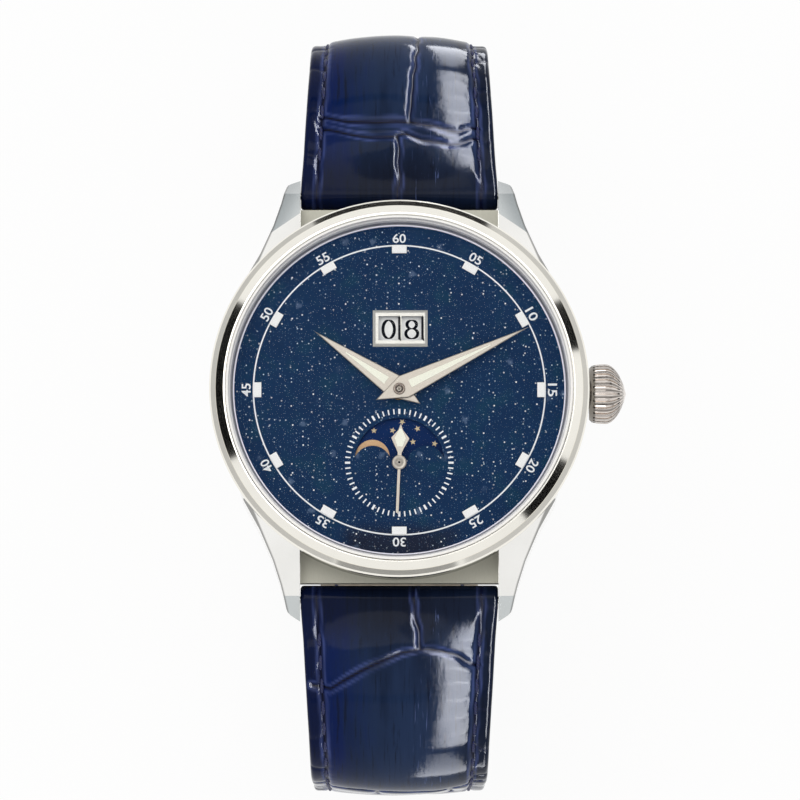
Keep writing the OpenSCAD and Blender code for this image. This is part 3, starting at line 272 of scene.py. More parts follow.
def brushed_metal(f, colour, stretch, roughness, depth):
    """Straight hairlines that run along the axis whose stretch is small."""
    hairline = f.noise(f.place(stretch), 3.0, 5.0, 0.75)
    patch = f.noise(f.place(), 0.25, 2.0)
    tone = f.mix(f.smooth(hairline, 0.3, 0.7), dimmed(colour, 0.78), colour)
    f.surface(tone, 1.0, roughness + patch * 0.08 + hairline * 0.06, f.bump(hairline, depth))


def turned_metal(f, colour, pitch, roughness):
    """Fine rings about the dial's centre, as a lathe or a polishing disc leaves them."""
    x, y, z = f.axes(f.place())
    rings = f.noise(f.vector(distance(x, y) / pitch, z * 2.0), 1.0, 3.0, 0.6)
    tone = f.mix(f.smooth(rings, 0.35, 0.65), dimmed(colour, 0.84), colour)
    f.surface(tone, 1.0, roughness + rings * 0.08, f.bump(rings, 0.006))


def striped_metal(f, colour, turn, width):
    """Broad parallel stripes, each with its own fine arcs, as on decorated bridges."""
    x, y = f.axes(f.place())[:2]
    across = x * math.cos(turn) + y * math.sin(turn)
    along = y * math.cos(turn) - x * math.sin(turn)
    stripe = (across / width).fraction()
    bow = stripe * (1 - stripe)
    arcs = f.noise(f.vector(along * 7.0 + bow * 14.0, across * 0.7), 1.0, 3.0, 0.6)
    tone = f.mix(f.smooth(stripe + arcs * 0.25, 0.05, 1.2), dimmed(colour, 0.7), colour)
    f.surface(tone, 1.0, 0.2 + arcs * 0.12, f.bump(stripe * 0.8 + arcs * 0.1, 0.05))


def pearled_metal(f, colour):
    """Rows of small overlapping polished spots."""
    spot = f.cells(f.place((1, 1, 0)), 1.1)
    ring = (spot * 46.0).sine()
    tone = f.smooth(spot, 0.7, 0.1)
    f.surface(f.mix(tone, dimmed(colour, 0.72), colour), 1.0, 0.26 + tone * 0.08,
              f.bump(ring * 0.3 + spot, 0.02))


def case_steel(f):
    """Polished steel. The shelf between the lugs is satin, and the case's side over it is painted dark as
    shade.
    The slanted facets at the lugs' ends have fine straight hairlines and are painted grey as shade, darker
    towards their tips and most at 12 o'clock, and a painted grey line of shade outlines the lugs."""
    lug_start, gap_half, lug_inner, shelf_top = 12.0, 10.98, 11.0, 2.45
    facet_start, facet_inner, facet_slant, end_start = 20.4, 10.7, 0.72, 22.45
    outer_edges = ((21.86, 0.424), (20.05, 0.327), (18.63, 0.26))
    place = f.place()
    x, y, z = f.axes(place)
    width, reach = abs(x), abs(y)
    between = (width < gap_half) * (reach > lug_start)
    shelf = between * (z < shelf_top)
    flank = between * (z > shelf_top)
    upward = f.axes(f.node("ShaderNodeNewGeometry", output="Normal"))[2]
    lug = (width > lug_inner) * (reach > lug_start) * (upward > 0.25)
    slanted = f.smooth(y + (width - facet_inner) * facet_slant, facet_start - 0.1, facet_start + 0.1)
    facet = (lug * slanted).larger(lug * (reach > end_start))
    side, *others = [start - reach * slope for start, slope in outer_edges]
    for other in others:
        side = side.larger(other)
    # painted shade: a grey line along the lugs' outer edges
    rim = lug * f.smooth(width - side, -0.26, -0.04)
    # painted shade on the lugs' end facets, growing towards their tips and stronger at 12 o'clock
    tip = f.smooth(width + reach * 0.39, 18.4, 21.4) * ((y > 0) * 0.75 + 0.25)
    smudge = f.noise(place, 0.22, 3.0)
    hairline = f.noise(f.place((5, 0.6, 3)), 2.6, 4.0, 0.7)
    polished = f.mix(smudge, shade(232, 231, 227), shade(250, 249, 246))
    # the facets' fine grain, and their painted shade in grey
    facet_grain_and_shade = f.mix(tip * 0.75 + hairline * 0.25, shade(214, 218, 218), shade(158, 164, 166))
    satin = f.mix(hairline, shade(182, 180, 166), shade(202, 200, 186))
    colour = f.mix(shelf, f.mix(facet, polished, facet_grain_and_shade), satin)
    # painted shade: the case's side over the shelf is painted dark
    colour = f.mix(flank, colour, shade(84, 84, 80))
    colour = f.mix(rim * 0.75, colour, shade(112, 112, 110))
    rough = 0.08 + smudge * 0.05 + f.smooth(hairline, 0.55, 0.8) * 0.05
    f.surface(colour, 1.0 - shelf * 0.55, rough + shelf * 0.4 + facet * 0.12, f.bump(hairline, 0.003))


def fluted_steel(f):
    """The crown: polished flutes about its own axis, with painted shade in the grooves and at its foot."""
    foot_end = 21.4
    x, y, z = f.axes(f.place())
    up = z - CROWN_Z
    turn = y.turn_from(up) * (CROWN_FLUTES / (2 * math.pi))
    from_groove = abs((turn + 0.5).fraction() - 0.5)
    fluted = f.smooth(x, foot_end, foot_end + 0.2) * f.smooth(distance(y, up), 0.9, 1.5)
    shaded = f.smooth(from_groove, 0.2, 0.12) * fluted * (1 - f.smooth(abs(y), 1.9, 3.1) * 0.6)
    foot = f.smooth(x, foot_end + 0.35, foot_end + 0.15)
    smudge = f.noise(f.place(), 0.8, 3.0)
    colour = f.mix(smudge, shade(206, 196, 188), shade(238, 232, 226))
    # painted shade in the grooves, fading towards the crown's sides, and at its foot
    colour = f.mix(shaded * 0.72, colour, shade(62, 56, 50))
    colour = f.mix(foot * 0.75, colour, shade(80, 76, 68))
    f.surface(colour, 1.0, 0.1 + smudge * 0.08, f.bump(f.smooth(from_groove, 0.08, 0.46) * fluted, 0.16))


def stepped_silver(f):
    """The ring round the dial: a white lip, painted shade along its groove, then pale turned metal."""
    lip_r, groove_r = 18.36, 18.48
    x, y, z = f.axes(f.place())
    radius = distance(x, y)
    rings = f.noise(f.vector(radius * 5.0, z * 2.0), 1.0, 3.0, 0.6)
    pale = f.mix(rings, shade(206, 205, 208), shade(232, 230, 226))
    # painted shade along the groove
    line = f.smooth(abs(radius - groove_r), 0.12, 0.06)
    colour = f.mix(line * 0.75, pale, shade(70, 72, 86))
    colour = f.mix(f.smooth(radius, lip_r + 0.02, lip_r - 0.02), colour, shade(232, 230, 242))
    f.surface(colour, 0.25, 0.35 + rings * 0.08, f.bump(rings, 0.006))


def tinted_glass(f):
    """Sapphire with an anti-glare coating: nearly clear, with a cool glint where it is seen flat."""
    glint = f.node("ShaderNodeFresnel", None, {"IOR": 1.5})
    haze = f.noise(f.place(), 0.15, 2.0)
    colour = f.mix(haze, shade(60, 74, 120), shade(96, 110, 150))
    f.surface(colour, 0.0, 0.03 + haze * 0.02, Alpha=0.006 + glint * 0.2)


def enamel(f, dark, light, roughness, coat, gloss):
    """Smooth fired colour with a faint grain, as on the date discs and the moon disc."""
    grain = f.noise(f.place(), 6.0, 3.0)
    patch = f.noise(f.place(), 0.6, 2.0)
    f.surface(f.mix(patch, dark, light), 0.0, roughness + grain * 0.1, f.bump(grain, 0.01),
              Coat_Weight=coat, Specular_IOR_Level=gloss)


def lume(f, colour):
    """Pressed luminous paint: matt, slightly grainy, with painted shade in its dips."""
    grain = f.noise(f.place(), 14.0, 4.0, 0.7)
    # painted shade: darker where the grain dips
    tone = f.mix(f.smooth(grain, 0.35, 0.6), dimmed(colour, 0.93), colour)
    f.surface(tone, 0.0, 0.6 + grain * 0.2, f.bump(grain, 0.012))


def rubber(f, colour):
    """Grainy seals, of rubber or pale nylon."""
    grain = f.noise(f.place(), 9.0, 4.0, 0.6)
    lighter = tuple(part * 1.5 + 0.005 for part in colour[:3]) + (1.0,)
    f.surface(f.mix(grain, colour, lighter), 0.0, 0.5 + grain * 0.25, f.bump(grain, 0.015))


def ruby(f):
    depth = f.noise(f.place(), 3.0, 3.0)
    f.surface(f.mix(depth, shade(120, 8, 40), shade(214, 30, 84)), 0.0, 0.06 + depth * 0.05, Coat_Weight=1.0)


def blued(f):
    heat = f.noise(f.place(), 0.9, 2.0)
    hairline = f.noise(f.place((1, 12, 1)), 3.0, 3.0)
    f.surface(f.mix(heat, shade(24, 44, 140), shade(54, 92, 196)), 1.0, 0.16 + hairline * 0.08,
              f.bump(hairline, 0.003))


# Dial finishes

def sparkling_stone(f, base_dark, base_light):
    """Blue glass full of tiny flakes: many faint specks, fewer bright ones, a few clouds, and
    painted darkening at 6 o'clock that stands in for a dark reflection."""
    x, y = f.axes(f.place())[:2]
    flat = f.vector(x, y)

    def specks(scale, reach, share):
        cell = f.cells(flat, scale, dimensions="2D")
        chance = f.axes(cell.other("Color"))[0]
        size = f.smooth(cell, reach * scale, reach * scale * 0.6)
        return size * f.smooth(chance, 1.0 - share, 1.0)

    fine = specks(3.1, 0.055, 0.52)
    middle = specks(1.6, 0.078, 0.34)
    bright = specks(0.85, 0.105, 0.42)
    drift = f.noise(flat, 0.16, 3.0)
    teal = f.noise(flat, 0.3, 2.0)
    cluster = f.smooth(f.noise(flat, 0.4, 2.0), 0.34, 0.56)
    cloud = f.cells(flat, 0.3, dimensions="2D")
    cloud_chance = f.axes(cloud.other("Color"))[1]
    ragged = cloud + (f.noise(flat, 2.2, 4.0) - 0.5) * 0.34
    clouds = f.smooth(ragged, 0.15, 0.03) * f.smooth(cloud_chance, 0.6, 0.9)
    # painted darkening at 6 o'clock, standing in for a dark reflection
    low_shade = f.smooth(y, -14.2, -16.6) * f.smooth(abs(x) + ragged * 3.0, 9.0, 5.0)
    deep = f.mix(drift, base_dark, base_light)
    deep = f.mix(f.smooth(teal, 0.5, 0.7) * 0.6, deep, shade(18, 58, 80))
    deep = f.mix(low_shade * 0.8, deep, shade(30, 32, 44))
    misty = f.mix(clouds * 0.3, deep, shade(128, 150, 180))
    lit = f.mix(fine * 0.45, misty, shade(120, 156, 190))
    lit = f.mix(middle * (0.4 + cluster * 0.6), lit, shade(222, 240, 250))
    lit = f.mix(bright * (0.35 + cluster * 0.65), lit, shade(255, 255, 255))
    f.surface(lit, 0.0, 0.55 - drift * 0.08, Specular_IOR_Level=0.04)


def satin_silver(f):
    """The applied date frame: silver with a fine straight grain."""
    hairline = f.noise(f.place((0.4, 7, 3)), 3.0, 5.0, 0.75)
    patch = f.noise(f.place(), 0.8, 2.0)
    colour = f.mix(f.smooth(hairline, 0.3, 0.7), shade(206, 204, 194), shade(236, 234, 226))
    f.surface(colour, 0.4, 0.32 + patch * 0.1, f.bump(hairline, 0.004))


def ink(f, colour):
    grain = f.noise(f.place(), 20.0, 2.0)
    f.surface(f.mix(grain, dimmed(colour, 0.92), colour), 0.0, 0.55 + grain * 0.1, Specular_IOR_Level=0.15)


def hand_steel(f):
    hairline = f.noise(f.place((2, 2, 1)), 2.4, 5.0, 0.8)
    f.surface(f.mix(hairline, shade(164, 157, 146), shade(194, 187, 176)), 1.0,
              0.34 + hairline * 0.12, f.bump(hairline, 0.004))


def gilt(f, dark, light):
    """Gold leaf, slightly uneven, for the moons and the stars."""
    leaf = f.noise(f.place(), 2.5, 4.0, 0.65)
    f.surface(f.mix(leaf, dark, light), 0.4, 0.4 + leaf * 0.12, f.bump(leaf, 0.01))


# Leathers

def crocodile(f):
    """Glossy navy leather: slate plates with blue zones on one side and streaks along the strap,
    darker at the sewn borders, with painted shade near the case and in the creases, painted shadow
    deep in them, and painted highlights along their edges and in fine streaks."""
    crease = f.mask("crease")
    worn = f.mask("worn")
    across, along = f.axes(f.along_strap())[:2]
    patch = f.noise(f.along_strap((0.2, 0.05, 0.1)), 1.0, 3.0, 0.55)
    streak = f.noise(f.along_strap((2.6, 0.16, 1)), 1.0, 5.0, 0.65)
    hair = f.noise(f.along_strap((4.5, 0.22, 1)), 1.0, 3.0, 0.6)
    pores = f.cells(f.along_strap((1, 0.7, 1)), 2.4, "SMOOTH_F1")
    wrinkle = f.noise(f.along_strap((1.5, 0.5, 1)), 1.2, 5.0, 0.7)
    blue = f.smooth(patch * 0.7 + streak * 0.3 - across * 0.045, 0.62, 0.9)
    slate = f.mix(f.smooth(patch, 0.35, 0.65), shade(17, 30, 54), shade(29, 45, 74))
    plate = f.mix(blue, slate, shade(7, 25, 72))
    plate = f.mix(f.smooth(streak, 0.55, 0.8) * 0.5, plate, shade(34, 50, 84))
    plate = f.mix(f.smooth(streak, 0.47, 0.3) * 0.6, plate, shade(7, 10, 22))
    border = f.smooth(abs(across), 8.1, 8.9) * 0.55
    # painted shade near the case, mixed with the darker sewn borders
    root = f.smooth(along, 5.5, 1.0) * 0.65
    plate = f.mix(border.larger(root), plate, shade(10, 14, 28))
    # painted highlight: fine light streaks beside the long reflection
    lines = f.smooth(hair, 0.62, 0.7) * f.smooth(across, 1.2, 2.2) * f.smooth(across, 5.2, 4.4)
    plate = f.mix(lines * 0.6, plate, shade(84, 100, 148))
    # the creases: darker, partly their own colour and partly painted shade; deep inside them, painted shadow
    crease_colour_and_shade = f.mix(f.smooth(crease, 0.3, 0.75), plate, shade(12, 19, 50))
    # painted highlight along the creases' edges
    edge = f.mix(worn * 0.55, crease_colour_and_shade, shade(78, 92, 150))
    crease_shadow = f.mix(f.smooth(crease, 0.7, 0.92) * 0.9, edge, shade(4, 5, 12))
    height = streak * 0.3 + wrinkle * 0.5 + pores * 0.2
    f.surface(crease_shadow, 0.0, 0.06 + streak * 0.07 + crease * 0.2, f.bump(height, 0.018),
              Specular_IOR_Level=0.06)


def calf(f, dark, light):
    """Soft matt lining leather with fine pores and a few long creases."""
    pores = f.cells(f.place(), 3.4)
    crease = f.noise(f.place((1, 0.4, 0.4)), 1.1, 4.0, 0.6)
    colour = f.mix(f.smooth(crease, 0.3, 0.7), dark, light)
    f.surface(f.mix(f.smooth(pores, 0.16, 0.03) * 0.5, colour, dark), 0.0, 0.6 + crease * 0.15,
              f.bump(pores * 0.5 + crease * 0.5, 0.05))


def thread(f, colour):
    x, y, z = f.axes(f.place())
    twist = ((x + y + z) * 14.0).sine()
    tone = f.mix(f.smooth(twist, -0.6, 0.8), dimmed(colour, 0.55), colour)
    f.surface(tone, 0.0, 0.5, f.bump(twist, 0.02))


STEEL = shade(228, 226, 219)
recipes = {
    "case_steel": (case_steel,),
    "bezel_steel": (polished_metal, shade(250, 247, 238), 0.06, 0.06),
    "crown_steel": (fluted_steel,),
    "tube_steel": (polished_metal, STEEL, 0.12, 0.2),
    # a darker copy of the hands' steel: painted shade on the minute hand's cap
    "shaded_hub_steel": (polished_metal, shade(150, 138, 128), 0.2, 0.3),
    "buckle_steel": (polished_metal, STEEL, 0.12, 0.3),
    "back_steel": (turned_metal, shade(214, 213, 208), 0.12, 0.28),
    "bar_steel": (polished_metal, shade(200, 200, 198), 0.2, 0.3),
    "sapphire": (tinted_glass,),
    "flange_silver": (stepped_silver,),
    "seal_nylon": (rubber, shade(222, 220, 216)),
    "seal_rubber": (rubber, shade(26, 26, 28)),
    "dial_stone": (sparkling_stone, shade(14, 38, 72), shade(18, 53, 88)),
    "lume_white": (lume, shade(252, 252, 250)),
    "lume_cream": (lume, shade(252, 252, 234)),
    "hand_steel": (hand_steel,),
    "dial_ink": (ink, shade(246, 248, 250)),
    "date_ink": (ink, shade(18, 18, 20)),
    "date_white": (enamel, shade(246, 246, 242), shade(254, 254, 252), 0.25, 0.1, 0.5),
    "date_frame_silver": (satin_silver,),
    "moon_blue": (enamel, shade(8, 34, 78), shade(14, 46, 96), 0.5, 0.0, 0.04),
    "moon_gold": (gilt, shade(178, 138, 96), shade(214, 180, 138)),
    "star_gold": (gilt, shade(170, 152, 114), shade(214, 198, 164)),
    "plate_rhodium": (pearled_metal, shade(206, 206, 204)),
    "bridge_rhodium": (striped_metal, shade(214, 214, 212), 0.6, 1.7),
    "rotor_rhodium": (striped_metal, shade(220, 219, 216), 1.9, 2.0),
    "holder_grey": (turned_metal, shade(150, 150, 152), 0.3, 0.4),
    "wheel_gilt": (turned_metal, shade(222, 186, 108), 0.06, 0.28),
    "works_steel": (brushed_metal, shade(186, 186, 188), (5, 0.6, 1), 0.25, 0.005),
    "blued_steel": (blued,),
    "ruby": (ruby,),
    "crocodile": (crocodile,),
    "calf_lining": (calf, shade(146, 136, 122), shade(176, 166, 150)),
    "navy_thread": (thread, shade(26, 34, 86)),
}
materials = {}
for finish_name, (maker, *values) in recipes.items():
    materials[finish_name] = bpy.data.materials.new(finish_name)
    maker(Finish(materials[finish_name]), *values)

node_finishes = {
    "case_steel": ["case_middle"],
    "bezel_steel": ["bezel"],
    "crown_steel": ["crown"],
    "tube_steel": ["crown_tube"],
    "buckle_steel": ["buckle_frame", "buckle_tang"],
    "back_steel": ["case_back_ring", "case_back_screws", "rotor_bearing"],
    "bar_steel": ["spring_bar_12", "spring_bar_6", "winding_stem", "case_clamps"],
    "sapphire": ["crystal", "case_back_window"],
    "flange_silver": ["flange_ring"],
    "seal_nylon": ["crystal_gasket"],
    "seal_rubber": ["case_back_gasket", "crown_gasket"],
    "dial_stone": ["dial"],
    "lume_white": ["hour_blocks"],
    "hand_steel": ["hour_hand", "minute_hand", "seconds_hand"],
    "date_frame_silver": ["date_frame"],
    "date_white": ["date_ones_disc", "date_tens_disc"],
    "moon_blue": ["moon_disc"],
    "plate_rhodium": ["main_plate"],
    "bridge_rhodium": ["train_bridge", "barrel_bridge", "balance_cock", "pallet_bridge"],
    "rotor_rhodium": ["rotor"],
    "holder_grey": ["movement_holder"],
    "wheel_gilt": ["centre_wheel", "third_wheel", "fourth_wheel", "escape_wheel", "balance_wheel",
                   "barrel", "minute_wheel", "hour_wheel"],
    "works_steel": ["pallet_fork", "mainspring", "barrel_arbor", "cannon_pinion", "sliding_pinion",
                    "winding_pinion", "setting_lever"],
    "blued_steel": ["bridge_screws", "clamp_screws", "hairspring"],
    "ruby": ["jewels"],
    "crocodile": ["strap_12_leather", "strap_6_leather", "fixed_keeper", "free_keeper"],
    "calf_lining": ["strap_12_lining", "strap_6_lining"],
}
for finish_name, nodes in node_finishes.items():
    for node_name in nodes:
        mesh = frame["nodes"][node_name].data
        if not mesh.materials:
            mesh.materials.append(None)
        for index in range(len(mesh.materials)):
            mesh.materials[index] = materials[finish_name]


# Mesh helpers, in mm

def face_outwards(mesh):
    """Turns every face of a closed mesh outwards."""
    shape = bmesh.new()
    shape.from_mesh(mesh)
    bmesh.ops.recalc_face_normals(shape, faces=shape.faces)
    if shape.calc_volume(signed=True) < 0:
        bmesh.ops.reverse_faces(shape, faces=shape.faces)
    shape.to_mesh(mesh)
    shape.free()


def add_piece(name, points, faces, finish_name, body, slot_name, smooth=False, fields=None, closed=True):
    mesh = bpy.data.meshes.new(name)
    mesh.from_pydata([tuple(c * MM for c in p) for p in np.asarray(points, float).tolist()], [], faces)
    mesh.validate()
    if closed:
        face_outwards(mesh)
    mesh.update()
    for field, values in (fields or {}).items():
        values = np.asarray(values, np.float32)
        kind, key = ("FLOAT_VECTOR", "vector") if values.ndim == 2 else ("FLOAT", "value")
        attribute = mesh.attributes.new(field, kind, "POINT")
        attribute.data.foreach_set(key, values.ravel())
    if smooth:
        mesh.polygons.foreach_set("use_smooth", [True] * len(mesh.polygons))
    mesh.materials.append(materials[finish_name])
    piece = bpy.data.objects.new(name, mesh)
    bpy.context.scene.collection.objects.link(piece)
    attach(piece, body)
    return piece


def polar(radius, degrees):
    """A point at an angle from 12 o'clock, clockwise."""
    angle = math.radians(degrees)
    return radius * math.sin(angle), radius * math.cos(angle)


def turned(points, degrees, centre=(0, 0)):
    """Points turned clockwise about the origin and moved to centre."""
    c, s = math.cos(math.radians(degrees)), math.sin(math.radians(degrees))
    points = np.asarray(points, float)
    return np.stack([points[:, 0] * c + points[:, 1] * s + centre[0],
                     points[:, 1] * c - points[:, 0] * s + centre[1]], 1)


def inset(outline, distance):
    """A counterclockwise outline moved inwards by distance, with its corners mitred."""
    p = np.asarray(outline, float)
    before, after = p - np.roll(p, 1, 0), np.roll(p, -1, 0) - p
    before /= np.linalg.norm(before, axis=1)[:, None]
    after /= np.linalg.norm(after, axis=1)[:, None]
    normal_a = np.stack([-before[:, 1], before[:, 0]], 1)
    normal_b = np.stack([-after[:, 1], after[:, 0]], 1)
    middle = normal_a + normal_b
    middle /= (middle * middle).sum(1)[:, None] / 2
    return p + middle * distance


def flat_faces(outlines):
    """Triangles that fill the first outline less the others."""
    points = [Vector(p) for outline in outlines for p in outline]
    edges, start = [], 0
    for outline in outlines:
        edges += [(start + i, start + (i + 1) % len(outline)) for i in range(len(outline))]
        start += len(outline)
    found = geometry.delaunay_2d_cdt(points, edges, [], 1, 1e-7)
    verts, triangles = np.array([list(v) for v in found[0]]), found[2]
    if len(outlines) == 1:
        return verts, [list(t) for t in triangles]

    def inside(point, outline):
        q = np.asarray(outline)
        r = np.roll(q, -1, 0)
        cross = (q[:, 1] > point[1]) != (r[:, 1] > point[1])
        x = q[:, 0] + (point[1] - q[:, 1]) / np.where(cross, r[:, 1] - q[:, 1], 1) * (r[:, 0] - q[:, 0])
        return (cross & (point[0] < x)).sum() % 2 == 1
    kept = []
    for t in triangles:
        centre = verts[list(t)].mean(0)
        if not any(inside(centre, hole) for hole in outlines[1:]):
            kept.append(list(t))
    return verts, kept


def grid_faces(rows, columns, closed=False):
    """Quads between rows of points, each row a loop. closed also joins the last row to the first."""
    faces = []
    for i in range(rows if closed else rows - 1):
        a, b = i * columns, (i + 1) % rows * columns
        for j in range(columns):
            k = (j + 1) % columns
            faces.append([a + j, a + k, b + k, b + j])
    return faces


def capped_faces(rows, columns, flipped=False):
    """The faces of a tube: the quads between its rows and a cap at each end."""
    last = (rows - 1) * columns
    caps = [list(range(columns))[::-1], [last + j for j in range(columns)]]
    faces = grid_faces(rows, columns) + caps
    return [face[::-1] for face in faces] if flipped else faces


def bevelled_plate(outlines, low, high, bevel):
    """A plate with a sloping rim: a counterclockwise outline, then clockwise holes."""
    points, faces = [], []
    for outline in outlines:
        first = len(points)
        for edge, z in ((outline, low), (outline, high - bevel), (inset(outline, bevel), high)):
            points.extend([x, y, z] for x, y in edge)
        faces += [[first + i for i in face] for face in grid_faces(3, len(outline))]
    for z, kept in ((high, [inset(o, bevel) for o in outlines]), (low, outlines)):
        verts, triangles = flat_faces([np.asarray(o).tolist() for o in kept])
        first = len(points)
        points.extend([x, y, z] for x, y in verts)
        faces += [[first + i for i in (t if z == high else t[::-1])] for t in triangles]
    return points, faces


def circle(radius, centre=(0, 0), steps=48, clockwise=False):
    turn = -1 if clockwise else 1
    return [(centre[0] + radius * math.cos(turn * 2 * math.pi * i / steps),
             centre[1] + radius * math.sin(turn * 2 * math.pi * i / steps)) for i in range(steps)]


def lathe(profile, centre=(0, 0), steps=64):
    """A closed profile of (radius, height) turned about a vertical axis."""
    points = []
    for k in range(steps):
        c, s = math.cos(2 * math.pi * k / steps), math.sin(2 * math.pi * k / steps)
        points += [(centre[0] + r * c, centre[1] + r * s, z) for r, z in profile]
    return points, grid_faces(steps, len(profile), closed=True)


def joined(shapes):
    """Several shapes, each with points and faces, as one."""
    points, faces = [], []
    for shape_points, shape_faces in shapes:
        first = len(points)
        points += [list(p) for p in shape_points]
        faces += [[first + i for i in face] for face in shape_faces]
    return points, faces


# Printing on the dial

def printed(outline, z, thickness=INK_T):
    """A raised layer of ink with the given counterclockwise outline."""
    points = [(x, y, height) for height in (z, z + thickness) for x, y in outline]
    return points, capped_faces(2, len(outline))


def word_outline(word, width, height, swell=0.014):
    """A flat word in Blender's own plain typeface, a little bolder, fitted to a width and height."""
    curve = bpy.data.curves.new("word", "FONT")
    curve.body = word
    curve.offset = swell
    curve.resolution_u = 4
    holder = bpy.data.objects.new("word", curve)
    bpy.context.scene.collection.objects.link(holder)
    mesh = bpy.data.meshes.new_from_object(holder)
    points = np.array([v.co[:2] for v in mesh.vertices])
    faces = [list(p.vertices) for p in mesh.polygons]
    bpy.data.objects.remove(holder)
    bpy.data.curves.remove(curve)
    bpy.data.meshes.remove(mesh)
    low, high = points.min(0), points.max(0)
    return (points - (low + high) / 2) / (high - low) * [width, height], faces


def dial_numerals():
    """60, 05, 10 ... 55 around the rim, all with their tops outwards."""
    radius, width, height = 16.92, 1.45, 1.02
    shapes = []
    for i in range(12):
        points, faces = word_outline(f"{(i * 5) or 60:02d}", width, height)
        placed = turned(points, 30 * i, polar(radius, 30 * i))
        shapes.append(([(x, y, FACE_Z + INK_T) for x, y in placed], faces))
    return joined(shapes)


def minute_ring():
    """The fine white ring that the hour blocks hang from."""
    inner, outer, top = 16.04, 16.2, FACE_Z + INK_T
    return lathe([(inner, FACE_Z), (inner, top), (outer, top), (outer, FACE_Z)], steps=240)


def seconds_ticks():
    """Sixty ticks round the small seconds, every fifth one broader."""
    inner, outer, broad, narrow = 5.42, 6.0, 0.12, 0.075
    shapes = []
    for i in range(60):
        half = broad if i % 5 == 0 else narrow
        bar = [(-half, inner), (half, inner), (half, outer), (-half, outer)]
        shapes.append(printed(turned(bar, 6 * i, SUBDIAL).tolist(), FACE_Z))
    return joined(shapes)


add_piece("minute_numerals", *dial_numerals(), "dial_ink", "case", "lume", closed=False)
add_piece("minute_ring", *minute_ring(), "dial_ink", "case", "lume")
add_piece("seconds_ticks", *seconds_ticks(), "dial_ink", "case", "lume")


# Date digits

def arc(centre, rx, ry, start, end, steps=20):
    return [(centre[0] + rx * math.cos(math.radians(start + (end - start) * i / steps)),
             centre[1] + ry * math.sin(math.radians(start + (end - start) * i / steps)))
            for i in range(steps + 1)]


DIGIT_STROKES = {
    "0": [arc((0.3, 0.5), 0.24, 0.47, 0, 360, 36)],
    "1": [[(0.14, 0.8), (0.32, 0.96), (0.32, 0.04)], [(0.16, 0.03), (0.5, 0.03)]],
    "2": [arc((0.3, 0.72), 0.23, 0.25, 165, -35) + [(0.06, 0.05), (0.54, 0.05)]],
    "3": [arc((0.28, 0.74), 0.22, 0.23, 150, -85), arc((0.28, 0.27), 0.25, 0.25, 85, -150)],
    "4": [[(0.4, 0.97), (0.04, 0.3), (0.57, 0.3)], [(0.42, 0.97), (0.42, 0.03)]],
    "5": [[(0.5, 0.95), (0.14, 0.95), (0.1, 0.56)] + arc((0.27, 0.33), 0.25, 0.3, 120, -140)],
    "6": [arc((0.3, 0.3), 0.24, 0.28, 0, 360, 30), arc((0.42, 0.34), 0.36, 0.63, 180, 100)],
    "7": [[(0.06, 0.84), (0.08, 0.95), (0.54, 0.95), (0.22, 0.03)]],
    "8": [arc((0.3, 0.74), 0.2, 0.22, 0, 360, 30), arc((0.3, 0.28), 0.25, 0.26, 0, 360, 30)],
    "9": [arc((0.3, 0.7), 0.24, 0.28, 0, 360, 30), arc((0.18, 0.66), 0.36, 0.63, 0, -80)],
}


def hull(points):
    """The convex outline round some points, counterclockwise."""
    points = sorted(map(tuple, points))

    def side(run):
        line = []
        for p in run:
            while len(line) > 1 and ((line[-1][0] - line[-2][0]) * (p[1] - line[-2][1])
                                     - (line[-1][1] - line[-2][1]) * (p[0] - line[-2][0])) <= 0:
                line.pop()
            line.append(p)
        return line[:-1]
    return side(points) + side(points[::-1])


def pen_digit(digit, height):
    """A digit drawn with a broad pen: its upright strokes are thick and its level ones thin."""
    nib_x, nib_y, middle, widen = 0.062, 0.02, [0.3, 0.5], 1.2
    quads = []
    for stroke in DIGIT_STROKES[digit]:
        for (ax, ay), (bx, by) in zip(stroke, stroke[1:]):
            corners = [(x + sx * nib_x, y + sy * nib_y) for x, y in ((ax, ay), (bx, by))
                       for sx in (-1, 1) for sy in (-1, 1)]
            quads.append((np.array(hull(corners)) - middle) * [height * widen, height])
    return quads


def disc_digits(digits, axis, side):
    """Digits around a date disc, the first one upright in the window on the given side."""
    shapes = []
    for i, digit in enumerate(digits):
        turn = 360 * i / len(digits)
        for quad in pen_digit(digit, DIGIT_H):
            moved = turned(quad + np.array([side * DIGIT_R, 0]), -turn, axis)
            shapes.append(([(x, y, DATE_DISC_Z + 0.01) for x, y in moved], [list(range(len(moved)))]))
    return joined(shapes)


for label, digits, side in (("ones", "8901234567", 1), ("tens", "0123", -1)):
    axis = (DATE_CENTRE[0] + side * DATE_AXIS, DATE_CENTRE[1])
    add_piece(f"date_{label}_digits", *disc_digits(digits, axis, -side), "date_ink", f"date_{label}",
              "date_enamel", closed=False)


def window_shades():
    """The painted shadow on the right inner edge of each date window, printed as a dark sheet."""
    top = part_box("date_frame")[1].z / MM
    half, window_edges = WINDOW_H / 2, (-0.17, 2.39)
    edge = [(-0.06, 0.14 - half), (0.28, -0.12 - half), (0.22, 0.4 - half),
            (0.2, half - 0.1), (0.06, half + 0.06), (-0.06, half - 0.1)]
    shapes = []
    for start in window_edges:
        outline = [(DATE_CENTRE[0] + start + x, DATE_CENTRE[1] + y) for x, y in edge]
        shapes.append(printed(outline, top - 0.01, 0.02))
    return joined(shapes)


# dark sheets painted as the shadow in the date windows
add_piece("date_window_shades", *window_shades(), "date_ink", "case", "date_enamel")


# Moon and stars

SEEN_STARS = [(-2.8, 3.65), (-0.74, 3.67), (0.32, 4.62), (2.0, 3.87), (1.5, 2.4), (3.9, 2.2)]
STAR_R = 0.36
MOON_R = 1.9
MOON_ORBIT = 3.06
MOON_ANGLE = math.radians(166)


